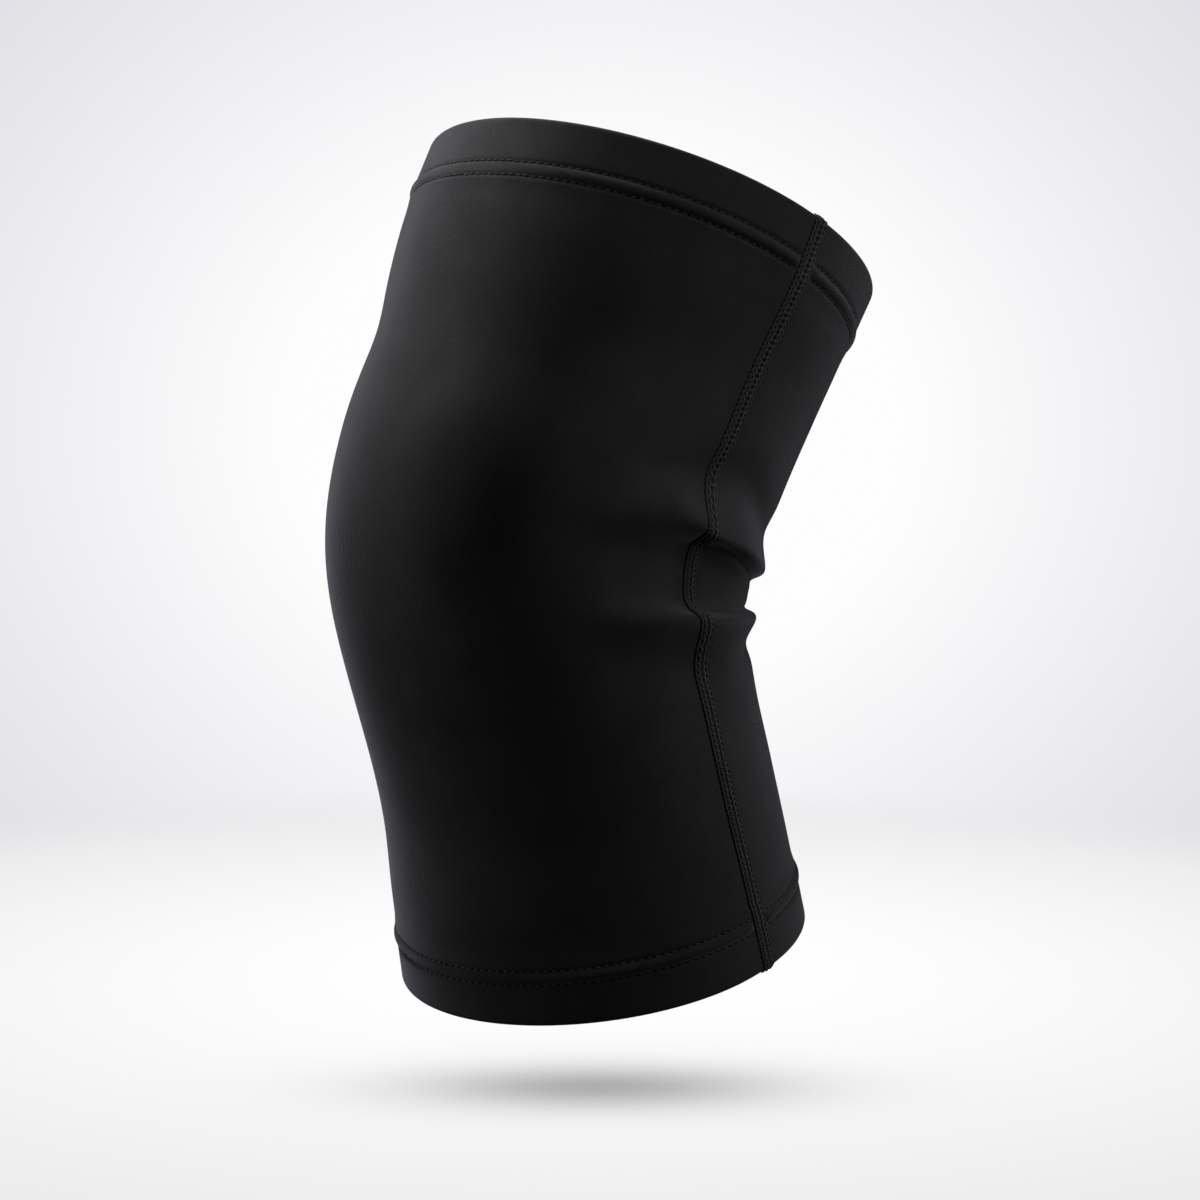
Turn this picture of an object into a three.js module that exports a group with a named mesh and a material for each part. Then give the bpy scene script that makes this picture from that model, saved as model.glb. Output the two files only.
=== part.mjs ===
import * as THREE from "three";

// Knee sleeve in its worn shape on a bent knee. Millimetres, +Z up.
// The origin lies on the leg's axis in the middle of the bend. The kneecap faces -Y.
// "along" is the distance on the axis: 0 at the bend, positive up the thigh, negative down the calf.
// "around" is the angle about the axis in degrees: 0 at the kneecap, 90 on +X, 180 behind the knee.

const THIGH_TILT = 25.5;
const CALF_TILT = 12;
const BEND_REACH = 48;
const THIGH_EDGE = 113.5;
const CALF_EDGE = -129.5;

const CLOTH = 1.5;
const HEM_CLOTH = 3.0;

const SEAM_BAND = 5.5;
const SEAM_INNER_BAND = 4.8;
const SEAM_WEB = 0.5;
const SEAM_THICK = 0.45;
const SEAM_CROWN = 0.25;
const SEAM_CLEARANCE = 0.2;
const SEAM_OVERRUN = 0.8;
const PANEL_SETBACK = 0.55;
const BAND_SETBACK = 3.2;

const PANEL_COLUMNS = 18;
const AXIS_STEPS = 48;
const MEAN_RADIUS = 64;

const CLOTH_COLOUR = 0x1a1a1c;
const THREAD_COLOUR = 0x222224;

// Sections square to the axis. Pairs give the front half and the back half: the depth from the axis
// and how square that half is (2 is an ellipse). "half" is half the width, "seam" the side seam's angle.
const SECTIONS = [
  { at: "calf edge", along: -129, depth: [60.5, 69], half: 64.5, square: [2, 2], seam: 99 },
  { at: "calf", along: -100, depth: [60, 67], half: 63, square: [2, 2], seam: 97.5 },
  { at: "upper calf", along: -75, depth: [57.5, 65.5], half: 61, square: [2.1, 2], seam: 96.5 },
  { at: "shin head", along: -50, depth: [58.5, 62.5], half: 59.5, square: [2.25, 2.05], seam: 95.5 },
  { at: "under knee", along: -25, depth: [61, 62.5], half: 58.5, square: [2.5, 2.15], seam: 94 },
  { at: "bend", along: 0, depth: [64.5, 65.5], half: 59.5, square: [2.75, 2.2], seam: 93 },
  { at: "kneecap", along: 22, depth: [66, 68], half: 60.5, square: [2.75, 2.2], seam: 92.5 },
  { at: "over knee", along: 44, depth: [68, 70.5], half: 62, square: [2.45, 2.1], seam: 92 },
  { at: "low thigh", along: 66, depth: [69.8, 73], half: 65, square: [2.3, 2.05], seam: 91.5 },
  { at: "mid thigh", along: 90, depth: [71.5, 75], half: 70, square: [2.1, 2], seam: 91 },
  { at: "thigh edge", along: 113, depth: [70.4, 78.5], half: 72, square: [2, 2], seam: 90.5 },
];

// Folds across the back of the bend, measured on the cloth from the middle of the bend. A fold fades in
// between two angles and, between two more, turns from the first to the second value of each pair: its
// place, how far it stands out, half its span and how far it droops. A higher "edge" makes it steeper.
// The droop fades in between the angles of "lean". In front of the sides the place moves by "rake" a degree.
const FOLDS = [
  {
    is: "thigh roll", edge: 2, fade: [46, 78], turn: [97, 138], lean: [74, 102], rake: -0.15,
    place: [19.5, 4.5], height: [4.6, 2.2], span: [8, 4.8], droop: [-6.5, -3.2],
  },
  {
    is: "neck", edge: 2, fade: [55, 92], turn: [97, 138], lean: [50, 88], rake: 0,
    place: [28, 13], height: [-3.2, -1.4], span: [8, 6.5], droop: [0, 0],
  },
  {
    is: "crease", edge: 4, fade: [50, 88], turn: [92, 125], lean: [50, 88], rake: 0,
    place: [-2, -6.3], height: [-3.2, -1], span: [12, 4.4], droop: [0, 0],
  },
  {
    is: "calf roll", edge: 2, fade: [46, 80], turn: [104, 138], lean: [46, 80], rake: 0.1,
    place: [-20.8, -15], height: [4.6, 2.6], span: [7, 3.6], droop: [3.4, 1],
  },
  {
    is: "waist", edge: 2, fade: [50, 88], turn: [92, 124], lean: [50, 88], rake: 0.2,
    place: [-28.5, -21.5], height: [-1, -1.2], span: [6.5, 4.4], droop: [0, 0],
  },
];

// Soft swells and hollows on the front, each mirrored to the other side of the leg.
const SWELLS = [
  { is: "kneecap", along: -3, around: 0, reachAlong: 32, reachAround: 45, edge: 4, height: 2.2 },
  { is: "thigh hollow", along: 50, around: 40, reachAlong: 14, reachAround: 16, edge: 2, height: -1.2 },
];

// The turned-in hem, by distance from the edge, at the calf and at the thigh: how far the outside stands
// out and how thick it is.
const HEM = [
  { is: "edge", inset: [0, 0], outset: -0.9, thick: 1.2 },
  { is: "edge round", inset: [0.5, 0.5], outset: -0.3, thick: 2.4 },
  { is: "hem face", inset: [1.6, 1.6], outset: 0, thick: HEM_CLOTH },
  { is: "hem flat", inset: [10.5, 11.5], outset: 0, thick: HEM_CLOTH },
  { is: "outer stitch row", inset: [13.3, 14.3], outset: -0.6, thick: HEM_CLOTH - 0.6 },
  { is: "ridge between rows", inset: [15.5, 16.6], outset: 0.4, thick: HEM_CLOTH },
  { is: "inner stitch row", inset: [17.7, 18.9], outset: -0.6, thick: HEM_CLOTH - 1 },
  { is: "turned edge", inset: [19.1, 20.3], outset: 0, thick: HEM_CLOTH - 0.6 },
  { is: "single cloth", inset: [19.9, 21.1], outset: 0, thick: CLOTH },
];

// Rows of facets between the two hems.
const ZONES = [
  { is: "calf", from: -98, to: -56, steps: 4 },
  { is: "folds", from: -50, to: 28, steps: 28 },
  { is: "thigh", from: 36, to: 88, steps: 4 },
];

const { clamp, degToRad, euclideanModulo, lerp, radToDeg, smoothstep } = THREE.MathUtils;

/** Value read from the table of sections, on a smooth curve through its rows. */
function sectionValue(read, along) {
  const last = SECTIONS.length - 1;
  const place = clamp(along, SECTIONS[0].along, SECTIONS[last].along);
  let i = 0;
  while (i < last - 1 && place > SECTIONS[i + 1].along) i += 1;
  const slope = (k) => {
    const before = SECTIONS[Math.max(k - 1, 0)];
    const after = SECTIONS[Math.min(k + 1, last)];
    return (read(after) - read(before)) / (after.along - before.along);
  };
  const [a, b] = [SECTIONS[i], SECTIONS[i + 1]];
  const reach = b.along - a.along;
  const t = (place - a.along) / reach;
  const rise = t * t * (3 - 2 * t);
  const lead = t * (1 - t) * (1 - t) * reach * slope(i);
  const trail = t * t * (1 - t) * reach * slope(i + 1);
  return read(a) * (1 - rise) + read(b) * rise + lead - trail;
}

/** Value of a named hem column at a place along the axis, straight between the rows. */
function hemValue(column, along) {
  const edge = along > 0 ? 1 : 0;
  const inset = Math.max(Math.min(THIGH_EDGE - along, along - CALF_EDGE), 0);
  const next = HEM.findIndex((row) => row.inset[edge] > inset);
  if (next < 0) return HEM[HEM.length - 1][column];
  const [a, b] = [HEM[next - 1], HEM[next]];
  const share = (inset - a.inset[edge]) / (b.inset[edge] - a.inset[edge]);
  return lerp(a[column], b[column], share);
}

/** Angle of the side seam at a place along the axis. */
function seamAngle(along) {
  return sectionValue((row) => row.seam, along);
}

/** Tilt of the leg's axis from upright; it eases from the calf's to the thigh's through the bend. */
function tiltAt(along) {
  const share = clamp(along / BEND_REACH, -1, 1);
  const middle = degToRad(THIGH_TILT - CALF_TILT) / 2;
  return middle + degToRad(THIGH_TILT + CALF_TILT) / 2 * Math.sin(share * Math.PI / 2);
}

/** Point and tilt of the leg's axis, summed up from the origin in short steps. */
function axisAt(along) {
  const step = along / AXIS_STEPS;
  let y = 0;
  let z = 0;
  for (let i = 0; i < AXIS_STEPS; i += 1) {
    const tilt = tiltAt((i + 0.5) * step);
    y += step * Math.sin(tilt);
    z += step * Math.cos(tilt);
  }
  return { y, z, tilt: tiltAt(along) };
}

/** Distance from the axis to the smooth outside, before folds. */
function sectionRadius(along, around) {
  const c = Math.cos(degToRad(around));
  const s = Math.abs(Math.sin(degToRad(around)));
  const side = c >= 0 ? 0 : 1;
  const depth = sectionValue((row) => row.depth[side], along);
  const power = sectionValue((row) => row.square[side], along);
  const half = sectionValue((row) => row.half, along);
  return ((s / half) ** power + (Math.abs(c) / depth) ** power) ** (-1 / power);
}

/** Smooth hill of height 1; a higher edge gives it a flatter top and steeper sides. */
function bell(distance, edge) {
  return Math.exp(-(Math.abs(distance) ** edge));
}

/** Distance on the cloth from the middle of the bend; it is short behind the knee and long in front. */
function clothDistance(along, around) {
  return along + MEAN_RADIUS * Math.cos(degToRad(around)) * (tiltAt(along) - tiltAt(0));
}

/** How far the folds, swells and hems move the outside out, and slide it along the axis. */
function relief(along, around) {
  const angle = Math.abs(euclideanModulo(around + 180, 360) - 180);
  const distance = clothDistance(along, around);
  const stretch = clothDistance(along + 0.5, around) - clothDistance(along - 0.5, around);
  let out = hemValue("outset", along);
  let slide = 0;
  for (const fold of FOLDS) {
    const turned = ([first, second]) => lerp(first, second, smoothstep(angle, ...fold.turn));
    const place = turned(fold.place) + fold.rake * Math.max(90 - angle, 0);
    const shape = bell((distance - place) / turned(fold.span), fold.edge);
    out += turned(fold.height) * smoothstep(angle, ...fold.fade) * shape;
    slide += turned(fold.droop) * smoothstep(angle, ...fold.lean) * shape / stretch;
  }
  for (const swell of SWELLS) {
    const a = (along - swell.along) / swell.reachAlong;
    const b = (angle - swell.around) / swell.reachAround;
    out += swell.height * bell(Math.hypot(a, b), swell.edge);
  }
  return { out, slide };
}

/** Point on the outside of the cloth. */
function outside(along, around) {
  const { out, slide } = relief(along, around);
  const axis = axisAt(along + slide);
  const radius = sectionRadius(along, around) + out;
  const forward = radius * Math.cos(degToRad(around));
  const sideways = radius * Math.sin(degToRad(around));
  return new THREE.Vector3(
    sideways,
    axis.y - forward * Math.cos(axis.tilt),
    axis.z + forward * Math.sin(axis.tilt),
  );
}

/** Outward direction square to the cloth, not counting the small steps of the hem. */
function outward(along, around) {
  const step = 0.4;
  const turn = 0.4;
  const [calfHem, thighHem] = HEM[HEM.length - 1].inset;
  const place = clamp(along, CALF_EDGE + calfHem + step, THIGH_EDGE - thighHem - step);
  const up = outside(place + step, around).sub(outside(place - step, around));
  const across = outside(along, around + turn).sub(outside(along, around - turn));
  return across.cross(up).normalize();
}

/** Angle that a distance on the cloth takes up at a place along the axis. */
function angleOf(distance, along, around) {
  return radToDeg(distance / sectionRadius(along, around));
}

/** Places along the axis of every row of facets, from the calf edge to the thigh edge. */
function rowPlaces() {
  const calfHem = HEM.map((row) => CALF_EDGE + row.inset[0]);
  const thighHem = HEM.map((row) => THIGH_EDGE - row.inset[1]).reverse();
  const between = ZONES.flatMap(({ from, to, steps }) => (
    Array.from({ length: steps + 1 }, (_, i) => lerp(from, to, i / steps))
  ));
  return [...calfHem, ...between, ...thighHem];
}

/** Geometry from points and the corners of its triangles. */
function solid(points, faces) {
  const geometry = new THREE.BufferGeometry().setFromPoints(points);
  geometry.setIndex(faces);
  geometry.computeVertexNormals();
  return geometry;
}

/** Closed solid between an outside grid and an inside grid of points, rows first. */
function shell(outer, inner) {
  const rows = outer.length;
  const columns = outer[0].length;
  const faces = [];
  const front = (i, j) => i * columns + j;
  const rear = (i, j) => rows * columns + i * columns + j;
  const quad = (a, b, c, d) => faces.push(a, b, c, a, c, d);
  for (let i = 0; i < rows - 1; i += 1) {
    for (let j = 0; j < columns - 1; j += 1) {
      quad(front(i, j), front(i, j + 1), front(i + 1, j + 1), front(i + 1, j));
      quad(rear(i, j), rear(i + 1, j), rear(i + 1, j + 1), rear(i, j + 1));
    }
    const end = columns - 1;
    quad(front(i, 0), front(i + 1, 0), rear(i + 1, 0), rear(i, 0));
    quad(front(i, end), rear(i, end), rear(i + 1, end), front(i + 1, end));
  }
  for (let j = 0; j < columns - 1; j += 1) {
    const end = rows - 1;
    quad(front(0, j), rear(0, j), rear(0, j + 1), front(0, j + 1));
    quad(front(end, j), front(end, j + 1), rear(end, j + 1), rear(end, j));
  }
  return solid([...outer.flat(), ...inner.flat()], faces);
}

/** Cloth panel between two seams; each edge stops just short of the seam's web. */
function panel(fromSeam, toSeam) {
  const outer = [];
  const inner = [];
  for (const along of rowPlaces()) {
    const from = fromSeam(along);
    const to = toSeam(along);
    const edge = angleOf(PANEL_SETBACK, along, from);
    const band = angleOf(BAND_SETBACK, along, from);
    const angles = [from + edge];
    for (let j = 0; j <= PANEL_COLUMNS - 2; j += 1) {
      angles.push(lerp(from + band, to - band, j / (PANEL_COLUMNS - 2)));
    }
    angles.push(to - edge);
    const thick = hemValue("thick", along);
    const face = angles.map((around) => outside(along, around));
    outer.push(face);
    inner.push(face.map((p, j) => p.clone().addScaledVector(outward(along, angles[j]), -thick)));
  }
  return shell(outer, inner);
}

/** Outline of the seam across its length: a crowned band outside, a flat band inside, a web between. */
function seamOutline(thick) {
  const low = SEAM_CLEARANCE;
  const top = low + SEAM_THICK;
  const under = -thick - SEAM_CLEARANCE;
  const foot = under - SEAM_THICK;
  const band = SEAM_BAND / 2;
  const innerBand = SEAM_INNER_BAND / 2;
  const web = SEAM_WEB / 2;
  const right = [
    [band, top], [band, low], [web, low], [web, under], [innerBand, under], [innerBand, foot],
  ];
  const left = right.map(([across, height]) => [-across, height]).reverse();
  return [[0, top + SEAM_CROWN], ...right, ...left].map(([x, y]) => new THREE.Vector2(x, y));
}

/** Flatlock seam swept from just past the calf edge to just past the thigh edge. */
function seam(side) {
  const places = [CALF_EDGE - SEAM_OVERRUN, ...rowPlaces(), THIGH_EDGE + SEAM_OVERRUN];
  const rings = places.map((along) => {
    const centre = side * seamAngle(along);
    return seamOutline(hemValue("thick", along)).map(({ x, y }) => {
      const around = centre + angleOf(x, along, centre);
      return outside(along, around).addScaledVector(outward(along, around), y);
    });
  });
  const outline = seamOutline(CLOTH);
  const count = outline.length;
  const faces = [];
  for (let i = 0; i < rings.length - 1; i += 1) {
    for (let j = 0; j < count; j += 1) {
      const a = i * count + j;
      const b = i * count + ((j + 1) % count);
      const [c, d] = [a + count, b + count];
      // Facets outside and inside split along the same corners as the cloth's facets beside them.
      if (outline[j].y > 0) faces.push(a, b, c, b, d, c);
      else faces.push(a, b, d, a, d, c);
    }
  }
  const end = (rings.length - 1) * count;
  for (const [a, b, c] of THREE.ShapeUtils.triangulateShape(outline, [])) {
    faces.push(a, b, c, end + a, end + c, end + b);
  }
  return solid(rings.flat(), faces);
}

/** Matt cloth or thread of one colour. */
function textile(colour, roughness) {
  return new THREE.MeshStandardMaterial({ color: colour, roughness, metalness: 0 });
}

const rightSeam = (along) => seamAngle(along);
const leftSeam = (along) => -seamAngle(along);
const leftSeamBehind = (along) => 360 - seamAngle(along);

const pieces = [
  { name: "front_panel", geometry: panel(leftSeam, rightSeam), material: textile(CLOTH_COLOUR, 0.9) },
  { name: "back_panel", geometry: panel(rightSeam, leftSeamBehind), material: textile(CLOTH_COLOUR, 0.9) },
  { name: "right_seam", geometry: seam(1), material: textile(THREAD_COLOUR, 0.8) },
  { name: "left_seam", geometry: seam(-1), material: textile(THREAD_COLOUR, 0.8) },
];

const sleeve = new THREE.Group();
sleeve.name = "knee_sleeve";
for (const { name, geometry, material } of pieces) {
  const mesh = new THREE.Mesh(geometry, material);
  mesh.name = name;
  sleeve.add(mesh);
}

export default sleeve;
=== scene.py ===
"""Looks of a plain knit knee sleeve, worn shape on a bent knee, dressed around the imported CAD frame.

The cloth follows the same formula as the part's solids: a section carried along a bent axis, with
folds behind the bend. Sizes in the tables are millimetres and degrees; meshes are made in metres.
"along" is the distance on the leg's axis: 0 at the bend, positive up the thigh, negative down the calf.
"around" is the angle about the axis: 0 at the kneecap, 90 on +X, 180 behind the knee.
"""

import logging
import math
from collections.abc import Callable, Sequence
from dataclasses import dataclass, field
from enum import Enum

import bpy
import numpy as np
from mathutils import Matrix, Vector


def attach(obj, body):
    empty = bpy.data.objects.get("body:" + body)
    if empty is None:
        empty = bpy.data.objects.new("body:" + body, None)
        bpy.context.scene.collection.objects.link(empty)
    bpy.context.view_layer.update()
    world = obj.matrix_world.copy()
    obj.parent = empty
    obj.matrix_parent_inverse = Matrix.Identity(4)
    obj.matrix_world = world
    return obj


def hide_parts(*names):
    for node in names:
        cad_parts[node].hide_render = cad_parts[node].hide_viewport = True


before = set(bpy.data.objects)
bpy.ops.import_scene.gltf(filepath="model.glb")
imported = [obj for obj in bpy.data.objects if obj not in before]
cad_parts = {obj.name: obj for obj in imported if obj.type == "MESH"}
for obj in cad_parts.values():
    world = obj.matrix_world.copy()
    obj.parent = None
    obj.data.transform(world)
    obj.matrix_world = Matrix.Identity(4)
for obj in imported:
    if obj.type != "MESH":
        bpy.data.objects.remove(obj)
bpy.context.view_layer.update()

LOG = logging.getLogger("knee_sleeve")
BODY = "root"
MM = 0.001
FULL_TURN = 2 * math.pi
FULL_CIRCLE = 360
SIDE_ANGLE = 90
UV_MAP = "cloth"
# Point attribute that carries the painted shade on the cloth's colour
PAINTED_SHADE_ATTRIBUTE = "tone"

Array = np.ndarray


def smoothstep(value: Array, low: float, high: float) -> Array:
    """Smooth rise from 0 at low to 1 at high: t squared times (3 - 2t), with t the share of the way."""
    t = np.clip((value - low) / (high - low), 0.0, 1.0)
    return t * t * (3.0 - 2.0 * t)


def bell(distance: Array, edge: float = 2.0) -> Array:
    """Smooth hill of height 1, exp(-|distance|^edge); a higher edge has a flatter top and steeper sides."""
    return np.exp(-(np.abs(distance) ** edge))


def unit(vectors: Array) -> Array:
    """Vectors of length 1 along the last axis."""
    return vectors / np.linalg.norm(vectors, axis=-1, keepdims=True)


def signed(around: Array) -> Array:
    """The same angles between -180 and 180 degrees, positive on the +X side."""
    return (around + FULL_CIRCLE / 2) % FULL_CIRCLE - FULL_CIRCLE / 2


def zigzag(turns: Array, sharpness: float) -> Array:
    """Wave between -1 and 1, the arc sine of a sine; its tips are round where sharpness is below 1."""
    return np.arcsin(sharpness * np.sin(turns * math.pi)) * 2 / math.pi


def round_steps(radius: float, count: int) -> Array:
    """Distances from a rim at even steps round a quarter circle: the radius times 1 less the cosine."""
    return radius * (1 - np.cos(np.linspace(0, math.pi / 2, count)))


def travelled(points: Array, axis: int) -> Array:
    """Distance along paths of points: the running sum of their steps, from 0.

    Args:
        points: Points, with x, y and z on the last axis.
        axis: Axis that the paths run along.

    Returns:
        The distance to each point.
    """
    steps = np.linalg.norm(np.diff(points, axis=axis), axis=-1)
    start = np.zeros_like(steps.take([0], axis))
    return np.concatenate([start, np.cumsum(steps, axis=axis)], axis=axis)


def linked(name: str, data: bpy.types.ID) -> bpy.types.Object:
    """A new object with some data, linked to the scene.

    Args:
        name: The object's name.
        data: Its mesh, light or camera.

    Returns:
        The object.
    """
    made = bpy.data.objects.new(name, data)
    bpy.context.scene.collection.objects.link(made)
    return made


class Side(Enum):
    """Side of the leg that a seam runs on, as the sign of its angle."""

    RIGHT = 1
    LEFT = -1


class Face(Enum):
    """Face of the cloth that threads lie on, as the sign of their height."""

    OUTSIDE = 1
    INSIDE = -1


class Edge(Enum):
    """Open edge of the sleeve."""

    THIGH = "thigh"
    CALF = "calf"


class Target(Enum):
    """What a light falls on."""

    SLEEVE = "lit_sleeve"
    FLOOR = "lit_floor"


@dataclass(frozen=True)
class Section:
    """One section square to the axis: depths, half width, squareness (2 is an ellipse) and seam angle."""

    along: float
    front_depth: float
    back_depth: float
    half_width: float
    front_square: float
    back_square: float
    seam: float


@dataclass(frozen=True)
class Fold:
    """One fold across the back of the bend.

    It fades in between two angles and, between two more, turns from the first to the second value
    of each pair: its place on the cloth, how far it stands out, half its span and how far it droops.
    The droop fades in between the angles of lean. In front of the sides its place moves by rake for
    each degree.
    """

    edge: float
    fade: tuple[float, float]
    turn: tuple[float, float]
    place: tuple[float, float]
    height: tuple[float, float]
    span: tuple[float, float]
    droop: tuple[float, float] = (0.0, 0.0)
    lean: tuple[float, float] = (50.0, 88.0)
    rake: float = 0.0


@dataclass(frozen=True)
class Swell:
    """One soft hill on the front, such as a swell, a hollow or a spot of painted shade, by its middle and
    reaches.
    """

    along: float
    around: float
    reach_along: float
    reach_around: float
    edge: float
    height: float

    def at(self, along: Array, angle: Array) -> Array:
        """Height of the hill: its own height times a bell of the distance from its middle, over its reaches.

        Args:
            along: Places on the axis.
            angle: Angles about it, from the kneecap.

        Returns:
            The heights.
        """
        a = (along - self.along) / self.reach_along
        b = (angle - self.around) / self.reach_around
        return self.height * bell(np.hypot(a, b), self.edge)


@dataclass(frozen=True)
class LegForm:
    """Smooth outside of the worn sleeve, before hems and threads.

    The kneecap and the thigh's hollow are the same on both sides of the leg. The dark spots of painted shade
    on the kneecap and thigh lie on the +X side only, the side that faces the camera.
    """

    thigh_tilt: float = 25.5
    calf_tilt: float = 12.0
    bend_reach: float = 48.0
    thigh_edge: float = 113.5
    calf_edge: float = -129.5
    mean_radius: float = 64.0
    axis_reach: float = 180.0
    axis_points: int = 7201
    slope_step: float = 0.5
    normal_step: float = 0.4
    sections: tuple[Section, ...] = (
        Section(-129, 60.5, 69, 64.5, 2, 2, 99),
        Section(-100, 60, 67, 63, 2, 2, 97.5),
        Section(-75, 57.5, 65.5, 61, 2.1, 2, 96.5),
        Section(-50, 58.5, 62.5, 59.5, 2.25, 2.05, 95.5),
        Section(-25, 61, 62.5, 58.5, 2.5, 2.15, 94),
        Section(0, 64.5, 65.5, 59.5, 2.75, 2.2, 93),
        Section(22, 66, 68, 60.5, 2.75, 2.2, 92.5),
        Section(44, 68, 70.5, 62, 2.45, 2.1, 92),
        Section(66, 69.8, 73, 65, 2.3, 2.05, 91.5),
        Section(90, 71.5, 75, 70, 2.1, 2, 91),
        Section(113, 70.4, 78.5, 72, 2, 2, 90.5),
    )
    thigh_roll: Fold = Fold(
        2, (46, 78), (97, 138), place=(19.5, 4.5), height=(4.6, 2.2), span=(8, 4.8), droop=(-8.8, -3.2),
        lean=(74, 102), rake=-0.15,
    )
    neck: Fold = Fold(2, (55, 92), (97, 138), place=(28, 13), height=(-3.2, -1.4), span=(8, 6.5))
    crease: Fold = Fold(4, (50, 88), (92, 125), place=(-2, -6.3), height=(-3.2, -1), span=(12, 4.4))
    calf_roll: Fold = Fold(
        2, (46, 80), (104, 138), place=(-20.8, -15), height=(4.6, 2.6), span=(7, 3.6), droop=(4.8, 1),
        rake=0.1,
    )
    waist: Fold = Fold(
        2, (50, 88), (92, 124), place=(-28.5, -21.5), height=(-1, -1.2), span=(6.5, 4.4), rake=0.2
    )
    lip_crease: Fold = Fold(
        2, (74, 104), (97, 138), place=(8.7, -1.8), height=(-1, -1.2), span=(2.4, 1.7)
    )
    smile_crease: Fold = Fold(
        2, (84, 112), (104, 138), place=(-14.6, -10.8), height=(-1.8, -1.6), span=(2, 1.6)
    )
    kneecap: Swell = Swell(-3, 0, 32, 45, 4, 2.2)
    thigh_hollow: Swell = Swell(50, 40, 14, 16, 2, -1.2)
    # Spots of painted shade on the kneecap and thigh; they darken the cloth's colour only
    painted_shade_spots: tuple[Swell, ...] = (
        Swell(9, 20, 20, 20, 4, 0.95),
        Swell(43, 34, 10, 9, 2, 0.6),
        Swell(66, 44, 15, 9, 2, 0.3),
    )

    def section_value(self, column: str, along: Array) -> Array:
        """Value of a column of the sections, on a cubic curve through its rows.

        Between two rows it is the Hermite cubic whose slopes are the central differences there.

        Args:
            column: Name of the field of Section to read.
            along: Places on the axis.

        Returns:
            The column's value at each place.
        """
        at = np.array([row.along for row in self.sections])
        value = np.array([getattr(row, column) for row in self.sections], float)
        before = np.maximum(np.arange(len(at)) - 1, 0)
        after = np.minimum(np.arange(len(at)) + 1, len(at) - 1)
        slope = (value[after] - value[before]) / (at[after] - at[before])
        place = np.clip(along, at[0], at[-1])
        i = np.clip(np.searchsorted(at, place, side="left") - 1, 0, len(at) - 2)
        reach = at[i + 1] - at[i]
        t = (place - at[i]) / reach
        rise = t * t * (3 - 2 * t)
        lead = t * (1 - t) ** 2 * reach * slope[i]
        trail = t * t * (1 - t) * reach * slope[i + 1]
        return value[i] * (1 - rise) + value[i + 1] * rise + lead - trail

    def tilt(self, along: Array) -> Array:
        """Tilt of the axis in radians; a quarter sine eases it from the calf's to the thigh's.

        Args:
            along: Places on the axis.

        Returns:
            The tilts.
        """
        middle = math.radians(self.thigh_tilt - self.calf_tilt) / 2
        half = math.radians(self.thigh_tilt + self.calf_tilt) / 2
        return middle + half * np.sin(np.clip(along / self.bend_reach, -1, 1) * math.pi / 2)

    def axis(self, along: Array) -> tuple[Array, Array, Array]:
        """Point of the axis: the running sum of the sine and cosine of the tilt from the origin.

        Args:
            along: Places on the axis.

        Returns:
            The axis's y, its z and its tilt at each place.
        """
        grid = np.linspace(-self.axis_reach, self.axis_reach, self.axis_points)
        step = np.diff(grid)
        tilt = self.tilt((grid[1:] + grid[:-1]) / 2)
        y = np.concatenate([[0.0], np.cumsum(np.sin(tilt) * step)])
        z = np.concatenate([[0.0], np.cumsum(np.cos(tilt) * step)])
        y -= np.interp(0.0, grid, y)
        z -= np.interp(0.0, grid, z)
        return np.interp(along, grid, y), np.interp(along, grid, z), self.tilt(along)

    def radius(self, along: Array, around: Array) -> Array:
        """Distance from the axis: the superellipse through the half width and the front or back depth.

        Args:
            along: Places on the axis.
            around: Angles about it.

        Returns:
            The distances.
        """
        c, s = np.cos(np.radians(around)), np.abs(np.sin(np.radians(around)))
        depth, power = (
            np.where(c >= 0, *(self.section_value(f"{part}_{column}", along) for part in ("front", "back")))
            for column in ("depth", "square")
        )
        half = self.section_value("half_width", along)
        return ((s / half) ** power + (np.abs(c) / depth) ** power) ** (-1 / power)

    def cloth_distance(self, along: Array, around: Array) -> Array:
        """Distance on the cloth from the middle of the bend: short behind the knee, long in front."""
        return along + self.mean_radius * np.cos(np.radians(around)) * (self.tilt(along) - self.tilt(0.0))

    def relief(self, along: Array, around: Array) -> tuple[Array, Array]:
        """Sum of the folds and swells, each a hill on the cloth and the same on both sides of the leg.

        Args:
            along: Places on the axis.
            around: Angles about it.

        Returns:
            How far the outside moves out, and how far it slides along the axis.
        """
        angle = np.abs(signed(around))
        distance = self.cloth_distance(along, around)
        ahead, behind = (self.cloth_distance(along + way * self.slope_step, around) for way in (1, -1))
        stretch = (ahead - behind) / (2 * self.slope_step)
        out = np.zeros(np.broadcast(along, around).shape)
        slide = np.zeros_like(out)
        folds = (
            self.thigh_roll, self.neck, self.crease, self.calf_roll, self.waist, self.lip_crease,
            self.smile_crease,
        )
        for fold in folds:
            turned = smoothstep(angle, *fold.turn)
            place, height, span, droop = (
                first + (second - first) * turned
                for first, second in (fold.place, fold.height, fold.span, fold.droop)
            )
            place = place + fold.rake * np.maximum(SIDE_ANGLE - angle, 0)
            shape = bell((distance - place) / span, fold.edge)
            out += height * smoothstep(angle, *fold.fade) * shape
            slide += droop * smoothstep(angle, *fold.lean) * shape / stretch
        for swell in (self.kneecap, self.thigh_hollow):
            out += swell.at(along, angle)
        return out, slide

    def shade(self, along: Array, around: Array) -> Array:
        """Painted shade on the cloth's colour: the product of 1 less the hill of each dark spot.

        Args:
            along: Places on the axis.
            around: Angles about it.

        Returns:
            The factors of painted shade, 1 where there is none.
        """
        tone = np.ones(np.broadcast(along, around).shape)
        for patch in self.painted_shade_spots:
            tone *= 1 - patch.at(along, signed(around))
        return tone

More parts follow.
